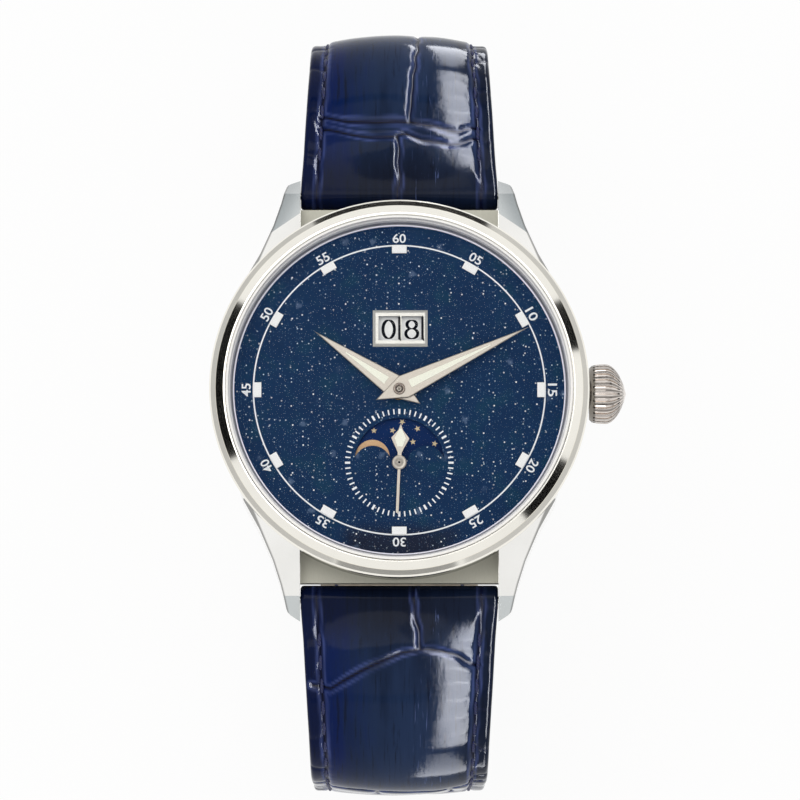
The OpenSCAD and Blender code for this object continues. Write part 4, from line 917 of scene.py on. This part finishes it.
def star(centre, turn):
    outline = [polar(STAR_R if i % 2 == 0 else STAR_R * 0.42, 36 * i + turn) for i in range(10)][::-1]
    return printed([(x + centre[0], y + centre[1]) for x, y in outline], MOON_DISC_Z, 0.03)


def gold_moon(side):
    """A thin domed disc. The disc carries two, one on each side of its axis."""
    place = (SUBDIAL[0] + side * MOON_ORBIT * math.cos(MOON_ANGLE),
             SUBDIAL[1] + side * MOON_ORBIT * math.sin(MOON_ANGLE))
    profile = [(0.001, 0), (MOON_R, 0), (MOON_R - 0.02, 0.03), (0.001, 0.06)]
    return lathe([(r, MOON_DISC_Z + z) for r, z in profile], place)


star_places = SEEN_STARS + [(-x, -y) for x, y in SEEN_STARS]
star_shapes = [star((x + SUBDIAL[0], y + SUBDIAL[1]), 17 * i) for i, (x, y) in enumerate(star_places)]
add_piece("moon_stars", *joined(star_shapes), "star_gold", "moon", "moon_enamel")
add_piece("gold_moons", *joined([gold_moon(1), gold_moon(-1)]), "moon_gold", "moon", "moon_enamel")


# Hands

def kite(length, tail=2.85, shoulder=1.3, shoulder_y=0.55):
    return [(0, -tail), (shoulder, shoulder_y), (0, length), (-shoulder, shoulder_y)]


def centre_hand(node, body, hand, inlay_start, inlay_end, inlay_half=0.47):
    """An hour or minute hand: a bevelled kite with a lume inlay let into it."""
    low, high = hand["z"], hand["z"] + HAND_T
    blade = turned(kite(hand["length"]), hand["turn"]).tolist()
    hole = circle(hand["bore"], clockwise=True)
    plate = bevelled_plate([blade, hole], low, high, 0.07)
    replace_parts(add_piece(node + "_blade", *plate, "hand_steel", body, "hand_steel"), node)
    strip = [(-inlay_half, inlay_start), (inlay_half, inlay_start), (0.06, inlay_end), (-0.06, inlay_end)]
    inlay = bevelled_plate([turned(strip, hand["turn"]).tolist()], high - 0.03, high + 0.035, 0.03)
    add_piece(node + "_blade_lume", *inlay, "lume_cream", body, "lume")


def turned_piece(name, profile, base, body, finish_name="hand_steel", centre=(0, 0), steps=64):
    """A small lathe-turned fitting of the hands, its profile given over a base height."""
    points, faces = lathe([(r, base + z) for r, z in profile], centre, steps)
    add_piece(name, points, faces, finish_name, body, "hand_steel", smooth=True)


def arbor_cap(name, body, centre, z, radius):
    """A small polished cap with a dark dimple over the end of an arbor."""
    profile = [(0.001, 0), (radius, 0), (radius * 0.96, 0.05), (radius * 0.5, 0.08),
               (radius * 0.42, 0.03), (0.001, 0.02)]
    turned_piece(name, profile, z, body, centre=centre, steps=32)


centre_hand("hour_hand", "hour", HOUR_HAND, 1.7, 7.2)
centre_hand("minute_hand", "minute", MINUTE_HAND, 1.3, 11.2)
minute_top = MINUTE_HAND["z"] + HAND_T
minute_cap = [(0.34, -0.02), (0.64, -0.02), (0.66, 0.05), (0.6, 0.13), (0.5, 0.15), (0.44, 0.1), (0.36, 0.08)]
turned_piece("minute_hand_cap", minute_cap, minute_top, "minute", "shaded_hub_steel")

diamond = [(-0.62, -2.7), (-0.12, -3.75), (0.12, -3.75), (0.62, -2.7), (0.3, -1.75), (-0.3, -1.75)]
seconds_top = SECONDS_HAND["z"] + SECONDS_HAND["t"]
seconds_lume = bevelled_plate([turned(diamond, SECONDS_HAND["turn"], SUBDIAL).tolist()],
                              seconds_top - 0.02, seconds_top + 0.03, 0.025)
add_piece("seconds_hand_lume", *seconds_lume, "lume_cream", "seconds", "lume")
seconds_ring = [(0.3, -0.01), (0.78, -0.01), (0.76, 0.05), (0.66, 0.08), (0.56, 0.05), (0.34, 0.04)]
turned_piece("seconds_hand_ring", seconds_ring, seconds_top, "seconds", centre=SUBDIAL)
arbor_cap("centre_arbor_cap", "centre", (0, 0), minute_top, 0.3)
arbor_cap("seconds_arbor_cap", "seconds", SUBDIAL, seconds_top - 0.02, 0.28)
pivot = printed(circle(0.11, SUBDIAL, 20), seconds_top, 0.05)
add_piece("seconds_pivot", *pivot, "date_ink", "seconds", "hand_steel")


# The strap's path, the same as the solids', in mm

BAR = (22.6, 1.2)
DROP = math.radians(12)
FIRST_RUN, UPPER_BEND, SIDE_RUN, LOWER_BEND = 6.4, 14.0, 10.0, 24.0
STRAP_W, STRAP_END_W = 21.6, 18.0
PAD_T, LEATHER_T, LINING_T = 3.2, 1.33, 1.2
LOOP_R, BAR_BORE = 1.6, 0.8
BUCKLE_L, BUCKLE_D, TAIL_GAP = 9.5, 2.2, 2.0
BUCKLE_LOOP_R, BUCKLE_BORE = 1.33, 0.75
TANG_SLOT, HOLE_D, HOLE_PITCH, HOLE_END, HOLES = 2.4, 2.0, 6.5, 8.0, 7
KEEPER_TURN, KEEPER_T, STRAP_FIT = 11.0, 0.9, 0.3
TIP_L = 8.0

S1 = FIRST_RUN
S2 = S1 + UPPER_BEND * (math.pi / 2 - DROP)
S3 = S2 + SIDE_RUN
S4 = S3 + LOWER_BEND * math.pi / 2


def run_to(start, length):
    y, z, a = start
    return y + length * np.cos(a), z + length * np.sin(a), a + 0 * length


def bend_to(start, radius, turn):
    y, z, a = start
    after = a - turn
    return y + radius * (np.sin(a) - np.sin(after)), z - radius * (np.cos(a) - np.cos(after)), after


P0 = (BAR[0], BAR[1], -DROP)
P1 = run_to(P0, S1)
P2 = bend_to(P1, UPPER_BEND, math.pi / 2 - DROP)
P3 = run_to(P2, SIDE_RUN)
P4 = bend_to(P3, LOWER_BEND, math.pi / 2)
BEND_CENTRE = (P3[0] - LOWER_BEND, P3[1])
S5 = S4 + 2 * P4[0] - BUCKLE_L - BUCKLE_D / 2 - TAIL_GAP


def path(s):
    """Place and heading of the strap's middle line at length s from the spring bar."""
    s = np.asarray(s, float)
    parts = [run_to(P0, s), bend_to(P1, UPPER_BEND, (s - S1) / UPPER_BEND), run_to(P2, s - S2),
             bend_to(P3, LOWER_BEND, (s - S3) / LOWER_BEND), run_to(P4, s - S4)]
    choose = [s < S1, s < S2, s < S3, s < S4]
    return [np.select(choose, [p[k] for p in parts[:4]], parts[4][k]) for k in range(3)]


def beside(s, x, h, side):
    """Points in space: s along, x across, h out from the wrist. side is 1 for 12 o'clock, -1 for 6."""
    y, z, a = path(s)
    return np.stack([x + 0 * y, side * (y - h * np.sin(a)), z + h * np.cos(a)], -1)


def spot(s, x, h, side):
    return beside(np.array([s]), np.array([x]), np.array([h]), side)[0]


def directions(s, side):
    """Unit vectors along the strap and out from the wrist."""
    angle = float(path(s)[2])
    return (np.array([0.0, side * math.cos(angle), math.sin(angle)]),
            np.array([0.0, -side * math.sin(angle), math.cos(angle)]))


def ease(t):
    t = np.clip(t, 0, 1)
    return t * t * (3 - 2 * t)


def pad_height(s):
    """The leather's thickness: a roll at the bar, a full pad, then thinner towards the end."""
    near = LOOP_R + (PAD_T - LOOP_R) * ease(s / 6)
    return np.where(s < 6, near, PAD_T + (LEATHER_T - PAD_T) * ease((s - 16) / 30))


def strap_half_width(s, end, round_tip):
    """Half the leather's width: full between the lugs, drawn in beside the case, and tapered."""
    root_gain, waist_loss = 0.13, 0.42
    half = (STRAP_W + (STRAP_END_W - STRAP_W) * np.minimum(1, np.maximum(s, 0) / S4)) / 2
    half = half + root_gain * (1 - ease(s / 5)) - waist_loss * ease(s / 18) * (1 - ease((s - 28) / 26))
    if round_tip:
        d = np.clip((end - s) / TIP_L, 0, 1)
        half = half * np.sqrt(np.maximum(0.02, 1 - (1 - d) ** 2))
    return half


# Crocodile relief: creases between plates, in mm across and along

STITCH_INSET = 1.8
CREASES_12 = [
    [(-8.6, 6.9), (-6.5, 6.5), (-3.0, 6.0), (-0.4, 5.9), (0.6, 6.3), (2.6, 5.6), (5.5, 5.2), (8.6, 5.9)],
    [(-0.1, 6.0), (-0.05, 2.0), (-0.2, -3.0)],
    [(1.2, 7.4), (1.5, 12.0), (2.1, 18.0), (2.0, 24.5)],
    [(-8.6, 8.3), (-6.0, 7.9), (-2.5, 7.5), (1.2, 7.4), (4.0, 7.1), (6.5, 6.6), (8.6, 7.2)],
]
CREASES_6 = [
    [(-9.7, 8.9), (-7.7, 9.4), (-4.5, 7.7), (0.4, 5.5), (2.3, 5.2), (4.8, 5.5), (8.6, 6.9)],
    [(2.4, 5.2), (1.7, 1.0), (1.4, -3.0)],
]


def row_lines(side, end):
    """Creases across the strap and down the middle of its rows, as lists of (x, s). The ones that
    the photo shows come first, and the hidden rows beyond them follow at random."""
    lines, s, split = (CREASES_12, 24.5, 1.0) if side == 1 else (CREASES_6, 24.0, -1.0)
    lines = lines + [[(-9, s + 0.6), (-4, s - 0.2), (0, s), (4, s + 0.3), (9, s - 0.5)]]
    shake = np.random.default_rng(5 + side)
    while s < end + 4:
        step = 6.4 + 2.6 * shake.random()
        bow = shake.uniform(-1.2, 1.2)
        middle = split * shake.uniform(0.6, 2.6)
        lines.append([(x, s + step + bow * math.cos(x / 5) + shake.uniform(-0.3, 0.3))
                      for x in (-9, -6, -3, 0, 3, 6, 9)])
        halfway = (middle + shake.uniform(-0.6, 0.6), s + step / 2)
        lines.append([(middle, s), halfway, (middle + shake.uniform(-0.8, 0.8), s + step)])
        if shake.random() < 0.45:
            second = -middle * 2.2
            lines.append([(second, s), (second + shake.uniform(-0.5, 0.5), s + step)])
        s, split = s + step, -split
    return lines


def distance_to(lines, x, s):
    nearest = np.full(x.shape, 99.0)
    for line in lines:
        for (ax, a_s), (bx, b_s) in zip(line, line[1:]):
            dx, ds = bx - ax, b_s - a_s
            t = np.clip(((x - ax) * dx + (s - a_s) * ds) / (dx * dx + ds * ds), 0, 1)
            nearest = np.minimum(nearest, np.hypot(x - ax - t * dx, s - a_s - t * ds))
    return nearest


def ripple(x, s, seed):
    """Smooth wandering values from a few sines, used to make lines and surfaces uneven."""
    waves = np.random.default_rng(seed)
    total = np.zeros_like(x)
    for k in range(7):
        fx, fs = waves.uniform(0.15, 1.6, 2)
        total += np.sin(fx * x + fs * s + waves.uniform(0, 6.3)) / (1 + k * 0.35)
    return total / 3


def valley(gap, width):
    return np.exp(-(gap / width) ** 2)


def relief(side, x, s, half, end):
    """Height to add to the leather, and the masks of its creases and of the painted highlights along their
    edges.
    """
    wx = x + 0.16 * ripple(x * 1.5, s * 1.5, 1)
    ws = s + 0.22 * ripple(x * 1.5, s * 1.5, 2)
    gap = distance_to(row_lines(side, end), wx, ws)
    rim = half - STITCH_INSET - np.abs(x) + 0.1 * ripple(x, s * 3, 3)
    groove = np.abs(rim)
    row = 5.2
    side_rows = np.abs(((ws + 1.7 * np.sign(x)) / row + 0.12 * ripple(x, s, 4)) % 1 - 0.5) * row
    side_gap = np.where(rim < 0, side_rows, 99)
    plate_crease = valley(gap, 0.21)
    side_crease = valley(side_gap, 0.2) * 0.6
    seam_crease = valley(groove, 0.26)
    crinkle = valley(groove, 0.8) * np.clip(ripple(x * 6, s * 5, 6), 0, 1)
    swell = -0.16 * np.exp(-np.minimum(gap, side_gap) / 1.1)
    height = swell - 0.2 * plate_crease - 0.1 * side_crease - 0.2 * seam_crease - 0.1 * crinkle
    height += 0.007 * ripple(x * 2.2, s * 0.7, 7)
    crease = np.clip(np.maximum.reduce([plate_crease, side_crease, 0.9 * seam_crease, 0.5 * crinkle]), 0, 1)
    nearest = np.minimum(gap, groove)
    # painted highlight: a band along each crease and seam edge
    worn = valley(nearest - 0.42, 0.13) * (0.25 + 0.75 * np.clip(ripple(x, s, 9) + 0.5, 0, 1))
    return height, crease, worn


def top_height(x, s, half):
    """Leather height over the middle line: a crowned pad with a lower sewn border."""
    pad = pad_height(s)
    inner = np.maximum(half - STITCH_INSET, 0.5)
    crown = pad * (1 - 0.29 * np.clip(np.abs(x) / inner, 0, 1) ** 2.2)
    border = np.maximum(0.6 * pad, np.minimum(pad * 0.94, 1.2))
    shoulder = ease((np.abs(x) - inner + 0.55) / 1.1)
    out = np.clip((np.abs(x) - half + 0.55) / 0.55, 0, 1)
    return crown + (border - crown) * shoulder - 0.42 * (1 - np.sqrt(np.maximum(0, 1 - out ** 2)))


def loop_height(x, s, half):
    """Leather height round the spring bar: one plain roll with a rounded edge."""
    out = np.clip((np.abs(x) - half + 0.4) / 0.4, 0, 1)
    return pad_height(s) - 0.3 * (1 - np.sqrt(np.maximum(0, 1 - out ** 2)))


def strap_leather(name, side, end, node, body, round_tip):
    """The padded leather of one half. It rolls round its spring bar, follows the path, and then
    rolls round the buckle's bar or ends in a round tip."""
    columns, step, roll_degrees, buckle_degrees = 104, 0.24, 236, 250
    n = columns + 1
    across = np.linspace(-1, 1, n)
    across = np.sign(across) * (1 - (1 - np.abs(across)) ** 1.12)
    rings, places, creases, edge_highlights = [], [], [], []

    def add_ring(outer, bore, x, s, heights, crease, worn):
        """A ring of points: the outer face from edge to edge, then the two edges of the bore."""
        rings.append(outer + bore)
        bore_places = [[x[-1], s[0], 0], [x[0], s[0], 0]]
        places.append(np.concatenate([np.stack([x, s, heights], 1), bore_places]))
        creases.append(np.append(crease, [0, 0]))
        edge_highlights.append(np.append(worn, [0, 0]))

    def add_rolled_ring(centre, angle, bore_r, x, s, heights, crease, worn):
        def around(across_points, radii):
            return [(px, side * (centre[0] + r * math.cos(angle)), centre[1] + r * math.sin(angle))
                    for px, r in zip(across_points, radii)]
        bore = around(x[[-1, 0]], (bore_r, bore_r))
        add_ring(around(x, heights), bore, x, s, heights, crease, worn)

    half = strap_half_width(0.0, end, False)
    x = across * half
    for theta in np.radians(np.linspace(roll_degrees, 0, 22))[:-1]:
        s = np.full(n, -LOOP_R * theta)
        crease, worn = relief(side, x, s, half, end)[1:]
        add_rolled_ring(BAR, -DROP + math.pi / 2 + theta, BAR_BORE, x, s,
                        loop_height(x, np.zeros(n), half), crease, worn)
    straight = np.arange(0, end, step)
    if round_tip:
        straight = np.append(straight[straight < end - 2], end - 2 * (1 - np.linspace(0, 1, 14)) ** 2)
    else:
        straight = np.append(straight[:-1], np.linspace(straight[-1], end, 3))
    for s0 in straight:
        s = np.full(n, s0)
        half = float(strap_half_width(s0, end, round_tip))
        x = across * half
        height, crease, worn = relief(side, x, s, half, end)
        fade = float(ease((s0 - 0.3) / 3)) * (float(ease((end - s0) / 1.5)) if round_tip else 1.0)
        rolled = float(ease(s0 / 3.5))
        h = loop_height(x, s, half) * (1 - rolled) + top_height(x, s, half) * rolled + height * fade
        if round_tip:
            h = h * (0.72 + 0.28 * ease(end - s0))
        bore_r, reach = (BAR_BORE, s0) if s0 < 2 else (BUCKLE_BORE, 9 if round_tip else end - s0)
        floor = math.sqrt(max(0.0, bore_r ** 2 - reach ** 2))
        outer = beside(s, x, np.maximum(h, floor + 0.3), side).tolist()
        bore = beside(np.full(2, s0), x[[-1, 0]], np.full(2, floor), side).tolist()
        add_ring(outer, bore, x, s, h, crease, worn)
    if not round_tip:
        half = STRAP_END_W / 2
        x = across * half
        end_y, end_z, end_angle = [float(v) for v in path(end)]
        for theta in np.radians(np.linspace(0, buckle_degrees, 18))[1:]:
            add_rolled_ring((end_y, end_z), end_angle + math.pi / 2 - theta, BUCKLE_BORE, x,
                            np.full(n, end + LEATHER_T * theta), top_height(x, np.full(n, end), half),
                            np.zeros(n), np.zeros(n))
    faces = capped_faces(len(rings), n + 2, flipped=side == 1)
    fields = {"strap_place": np.concatenate(places), "crease": np.concatenate(creases),
              "worn": np.concatenate(edge_highlights)}
    piece = add_piece(name, np.array(rings).reshape(-1, 3), faces, "crocodile", body, "leather",
                      smooth=True, fields=fields)
    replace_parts(piece, node)
    return piece


def strap_lining(name, side, end, node, body, round_tip):
    """The soft lining of one half: a thin band with rounded lower edges."""
    edge, spare = 0.35, 0.15
    last = end if round_tip else end - BUCKLE_LOOP_R - spare
    straight = np.linspace(LOOP_R + spare, last - 2, 150)
    straight = np.append(straight, last - 2 * (1 - np.linspace(0, 1, 10)[1:]) ** 2)
    rings = []
    for s0 in straight:
        half = float(strap_half_width(s0, end, round_tip))
        corner = [(half, edge), (half - edge * 0.3, edge * 0.3), (half - edge, 0.0)]
        under = [(half * t, -0.02 * math.cos(t * 9)) for t in np.linspace(0.8, -0.8, 9)]
        top = [(-half, LINING_T - 0.02), (half, LINING_T - 0.02)]
        x, h = np.array(top + corner + under + [(-cx, ch) for cx, ch in corner[::-1]]).T
        rings.append(beside(np.full(len(x), s0), x, h - LINING_T, side))
    faces = capped_faces(len(rings), len(rings[0]), flipped=side == -1)
    piece = add_piece(name, np.concatenate(rings), faces, "calf_lining", body, "lining")
    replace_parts(piece, node)
    return piece


def cut(piece, cutting_shapes):
    """Cuts closed shapes out of a piece."""
    points, faces = joined(cutting_shapes)
    mesh = bpy.data.meshes.new("cutter")
    mesh.from_pydata([tuple(c * MM for c in p) for p in points], [], faces)
    face_outwards(mesh)
    cutter = bpy.data.objects.new("cutter", mesh)
    bpy.context.scene.collection.objects.link(cutter)
    change = piece.modifiers.new("cut", "BOOLEAN")
    change.operation = "DIFFERENCE"
    change.solver = "EXACT"
    change.object = cutter
    bpy.context.view_layer.update()
    graph = bpy.context.evaluated_depsgraph_get()
    made = bpy.data.meshes.new_from_object(piece.evaluated_get(graph), depsgraph=graph)
    piece.modifiers.remove(change)
    old = piece.data
    piece.data = made
    bpy.data.meshes.remove(old)
    bpy.data.objects.remove(cutter)
    bpy.data.meshes.remove(mesh)


def slot_cutter(s0, s1, width, side):
    """A block across the strap's middle, tall enough to cut right through it."""
    reach = 4.0
    corners = [(s, x, h) for s in (s0, s1) for x in (-width / 2, width / 2) for h in (-reach, reach)]
    faces = [[0, 1, 3, 2], [4, 6, 7, 5], [0, 4, 5, 1], [2, 3, 7, 6], [0, 2, 6, 4], [1, 5, 7, 3]]
    return [spot(s, x, h, side) for s, x, h in corners], faces


def punch(s, side, radius=HOLE_D / 2, steps=28):
    """A round punch through the strap at s."""
    along = directions(s, side)[0]
    points = []
    for h in (-4.0, 6.0):
        for c, sn in circle(radius, steps=steps):
            points.append(spot(s, c, h, side) + along * sn)
    return points, capped_faces(2, steps)


def stitch_rows(side, start, end, strap_end, round_tip, height):
    """Stitches along both edges, each a small grain of thread whose ends sink into the leather."""
    length, gap, steps = 1.75, 0.6, 8
    sections = [(-1, 0.25), (-0.8, 0.75), (-0.3, 1), (0.3, 1), (0.8, 0.75), (1, 0.25)]
    faces = capped_faces(len(sections), steps)
    shapes = []
    for edge in (-1, 1):
        for k in range(int((end - start) / (length + gap))):
            s = start + (k + 0.5) * (length + gap)
            half = float(strap_half_width(s, strap_end, round_tip))
            x = edge * (half - STITCH_INSET)
            centre = spot(s, x, height(x, s, half), side)
            along, out = directions(s, side)
            points = []
            for t, r in sections:
                for c, sn in circle(r, steps=steps):
                    points.append(centre + along * t * length / 2 + out * (0.19 * sn - 0.14 * t * t)
                                  + np.array([0.2 * c, 0, 0]))
            shapes.append((points, faces))
    return joined(shapes)


def seam_height(x, s, half):
    return float(top_height(np.array([x]), np.array([s]), np.array([half]))[0]) - 0.16


def lining_face(x, s, half):
    """The lining is flat below, so all its stitches lie at one height."""
    return -LINING_T + 0.03


STRAPS = {"strap_12": (1, S4, False), "strap_6": (-1, S5, True)}
cutters = {
    "strap_12": [slot_cutter(S4 - 2.3, S4 + 4.0, TANG_SLOT, 1)],
    "strap_6": [punch(S5 - HOLE_END - i * HOLE_PITCH, -1) for i in range(HOLES)],
}
stitch_ends = {"strap_12": S4 - 3.5, "strap_6": S5 - 9.0}
for half_name, (side, end, tip) in STRAPS.items():
    top = strap_leather(half_name + "_top", side, end, half_name + "_leather", half_name, tip)
    under = strap_lining(half_name + "_under", side, end, half_name + "_lining", half_name, tip)
    cut(top, cutters[half_name])
    cut(under, cutters[half_name])
    for rows_name, start, height, slot_name in (("_stitches", 3.2, seam_height, "leather"),
                                                ("_under_stitches", 2.4, lining_face, "lining")):
        rows = stitch_rows(side, start, stitch_ends[half_name], end, tip, height)
        add_piece(half_name + rows_name, *rows, "navy_thread", half_name, slot_name, smooth=True)


# Keepers

def keeper(name, node, body, at_turn, width):
    """A leather loop bent with the strap: a rounded band swept round a rounded rectangle."""
    corner, spacing, section_steps = 0.9, 0.7, 20
    room = 2 * (LINING_T + LEATHER_T) + 2 * STRAP_FIT
    base = LOWER_BEND - LINING_T - STRAP_FIT
    half_x = width / 2 + KEEPER_T / 2
    low, high = base - KEEPER_T / 2, base + room + KEEPER_T / 2
    outline = []
    for cx, cr, start in ((half_x - corner, high - corner, 0), (corner - half_x, high - corner, 90),
                          (corner - half_x, low + corner, 180), (half_x - corner, low + corner, 270)):
        for k in range(7):
            angle = math.radians(start + 15 * k)
            c, s = math.cos(angle), math.sin(angle)
            outline.append(np.array([cx + corner * c, cr + corner * s, c, s]))
    dense = []
    for here, following in zip(outline, outline[1:] + outline[:1]):
        parts = max(1, int(math.dist(here[:2], following[:2]) / spacing))
        dense += [here + (following - here) * (k / parts) for k in range(parts)]
    half_turn = math.radians(KEEPER_TURN) / 2
    section = []
    for c, s in circle(1, steps=section_steps):
        turn = math.copysign(abs(c) ** 0.35, c) * half_turn * 0.995
        section.append((turn, math.copysign(abs(s) ** 0.6, s) * KEEPER_T / 2))
    points, places, creases = [], [], []
    for i, (x, r, nx, nr) in enumerate(dense):
        for turn, lift in section:
            angle = math.radians(at_turn) + turn
            radius = r + nr * lift
            points.append((x + nx * lift, BEND_CENTRE[0] + radius * math.cos(angle),
                           BEND_CENTRE[1] - radius * math.sin(angle)))
            places.append((i * spacing, turn * LOWER_BEND, lift))
            from_edge = (abs(turn) / half_turn - 0.8) / 0.05
            creases.append(0.5 * math.exp(-from_edge ** 2) if lift > 0 else 0.0)
    fields = {"strap_place": places, "crease": creases, "worn": [0.0] * len(points)}
    faces = grid_faces(len(dense), section_steps, closed=True)
    piece = add_piece(name, points, faces, "crocodile", body, "leather", smooth=True, fields=fields)
    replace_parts(piece, node)


keeper("free_keeper_band", "free_keeper", "free_keeper", 47.0, STRAP_END_W + 1.5)
keeper("fixed_keeper_band", "fixed_keeper", "strap_12", 64.0, STRAP_END_W + 0.9)


# Studio

def make_floor():
    """White paper under the watch. The camera, metal and glass see it as evenly white."""
    low, reach = cad_box[0].z, 3.0
    mesh = bpy.data.meshes.new("floor")
    corners = [(-reach, -reach, low), (reach, -reach, low), (reach, reach, low), (-reach, reach, low)]
    mesh.from_pydata(corners, [], [[0, 1, 2, 3]])
    f = Finish(bpy.data.materials.new("studio_floor"))
    camera = f.node("ShaderNodeLightPath")
    seen = camera.larger(camera.other("Is Glossy Ray").larger(camera.other("Is Transmission Ray")))
    paper = f.mix(f.noise(f.place(), 0.02, 3.0), shade(232, 232, 230), shade(240, 240, 238))
    matt = f.node("ShaderNodeBsdfDiffuse", None, {"Color": paper})
    glow = f.node("ShaderNodeEmission", None, {"Color": (1, 1, 1, 1), "Strength": 1.0})
    f.shown(f.node("ShaderNodeMixShader", None, {0: seen * 0.92, 1: matt, 2: glow}))
    mesh.materials.append(f.owner)
    floor = bpy.data.objects.new("floor", mesh)
    bpy.context.scene.collection.objects.link(floor)


def make_world():
    """A soft white room. Shiny metal also sees dark and grey screens round it. Their height is
    measured so that each slope of the bezel, seen from the camera, keeps to one level of it."""
    wide_slope, outer_band, soft = (0.38, 0.52), (0.52, 0.62), 0.7
    dark_screens = ((170, 25.4, wide_slope), (28, 8, wide_slope), (-28, 12, wide_slope),
                    (89.5, 24, outer_band))
    grey_screens = ((-91, 22, 1.0), (180, 66, 0.62), (0, 66, 0.55))
    world = bpy.data.worlds.new("studio")
    bpy.context.scene.world = world
    f = Finish(world, "ShaderNodeOutputWorld")
    x, y, z = f.axes(f.node("ShaderNodeTexCoord", output="Generated"))
    turn = y.turn_from(x) * (180 / math.pi)
    height = z + (y - 0.13) * 0.134

    def screen(middle, half, levels):
        """1 on a screen that reaches half degrees to each side of its middle, between two levels."""
        off = abs(turn - middle)
        level_middle, level_half = sum(levels) / 2, (levels[1] - levels[0]) / 2
        level_off = abs(height - level_middle)
        return (f.smooth(off.smaller(360 - off), half + soft, half - soft)
                * f.smooth(level_off, level_half + 0.01, level_half - 0.01))

    dark, *others = [screen(*values) for values in dark_screens]
    for other in others:
        dark = dark.larger(other)
    grey = sum(screen(middle, half, outer_band) * depth for middle, half, depth in grey_screens)
    sky = f.smooth(z, -0.2, 1.0) * 0.08 + f.smooth(y, -0.5, 0.4) * 0.04 + 0.88
    shiny = sky * (1 - dark) * (1 - grey * 0.66)
    camera = f.node("ShaderNodeLightPath")
    glossy = camera.other("Is Glossy Ray")
    seen = camera.larger(camera.other("Is Transmission Ray"))
    strength = seen + (1 - seen) * (glossy * shiny + (1 - glossy) * 0.92)
    f.shown(f.node("ShaderNodeBackground", None, {"Color": (1, 1, 1, 1), "Strength": strength}))


def softbox(name, place, size, power, aim=(0, 0, 0)):
    lamp = bpy.data.lights.new(name, "AREA")
    lamp.shape = "RECTANGLE"
    lamp.size, lamp.size_y = size
    lamp.energy = power
    holder = bpy.data.objects.new(name, lamp)
    bpy.context.scene.collection.objects.link(holder)
    holder.location = place
    holder.rotation_euler = (Vector(aim) - Vector(place)).to_track_quat("-Z", "Y").to_euler()
    return holder


def leather_gloss(name, place, size, power, aim):
    """A strip lamp that only draws the long reflection on the leather."""
    holder = softbox(name, place, size, power, aim)
    holder.data.color = (0.92, 0.94, 1.0)
    holder.visible_diffuse = False
    holder.visible_camera = False
    if "leather_pieces" not in bpy.data.collections:
        pieces = bpy.data.collections.new("leather_pieces")
        for piece in bpy.context.scene.objects:
            if piece.type == "MESH" and materials["crocodile"] in list(piece.data.materials):
                pieces.objects.link(piece)
    holder.light_linking.receiver_collection = bpy.data.collections["leather_pieces"]
    return holder


def gloss_arch():
    """Strip lamps in an arch over both straps, placed so that their reflection runs straight
    along the right of the leather, evenly bright where the strap bends away."""
    reach, step, lean, spread, bright = 1.0, 15, 0.354, 0.236, 0.38
    leather_ior, camera_tilt = 1.149, 7.5
    for tilt in range(-90, 91, step):
        meets = math.cos(math.radians((tilt + camera_tilt) / 2))
        bent = math.sqrt(1 - (1 - meets ** 2) / leather_ior ** 2)
        level = (meets - leather_ior * bent) / (meets + leather_ior * bent)
        upright = (leather_ior * meets - bent) / (leather_ior * meets + bent)
        mirrored = (level ** 2 + upright ** 2) / 2
        right = lean * meets
        flat = math.sqrt(1 - right ** 2)
        angle = math.radians(tilt)
        out = Vector((right, flat * math.sin(angle), flat * math.cos(angle)))
        size = (spread * meets * reach, 2 * reach * math.tan(math.radians(step / 2)))
        power = bright / mirrored * math.pi * size[0] * size[1]
        holder = leather_gloss("gloss_arch", out * reach, size, power, (0, 0, 0))
        sideways = Vector((0, math.cos(angle), -math.sin(angle))).cross(out).normalized()
        holder.rotation_euler = Matrix((sideways, out.cross(sideways), out)).transposed().to_euler()


def gloss_low(side):
    """A strip lamp close over the floor, for the leather that faces it."""
    x, y, turn = 0.0375, 0.215 * side, -10.2 * side
    holder = leather_gloss("gloss_low", (x, y, cad_box[0].z + 0.002), (0.022, 0.25), 0.24, (x, y, 1))
    holder.rotation_euler = (math.pi, 0, math.radians(turn))


def make_camera():
    """Looks down on the dial from a little towards 6 o'clock, through a long lens."""
    elevation = math.radians(82.5)
    distance_m, pixels_per_mm, frame_px, sensor = 1.5, 9.05, 800, 36.0
    dial_px = (399.3, 390.0)
    data = bpy.data.cameras.new("camera")
    data.sensor_width = sensor
    data.lens = sensor * distance_m / (frame_px / pixels_per_mm * MM)
    data.clip_start, data.clip_end = 0.01, 20
    camera = bpy.data.objects.new("camera", data)
    bpy.context.scene.collection.objects.link(camera)
    up = Vector((0, math.sin(elevation), math.cos(elevation)))
    back = Vector((0, -math.cos(elevation), math.sin(elevation)))
    off_x, off_y = [(place - frame_px / 2) / pixels_per_mm * MM for place in dial_px]
    aim = Vector((0, 0, FACE_Z * MM)) + up * off_y - Vector((1, 0, 0)) * off_x
    camera.location = aim + back * distance_m
    camera.rotation_euler = (-back).to_track_quat("-Z", "Y").to_euler()
    bpy.context.scene.camera = camera


make_floor()
make_world()
make_camera()
softbox("overhead", (-0.16, 0.22, 0.8), (0.5, 0.4), 1.3)
gloss_arch()
gloss_low(1)
gloss_low(-1)
bpy.context.scene.view_settings.view_transform = "Standard"
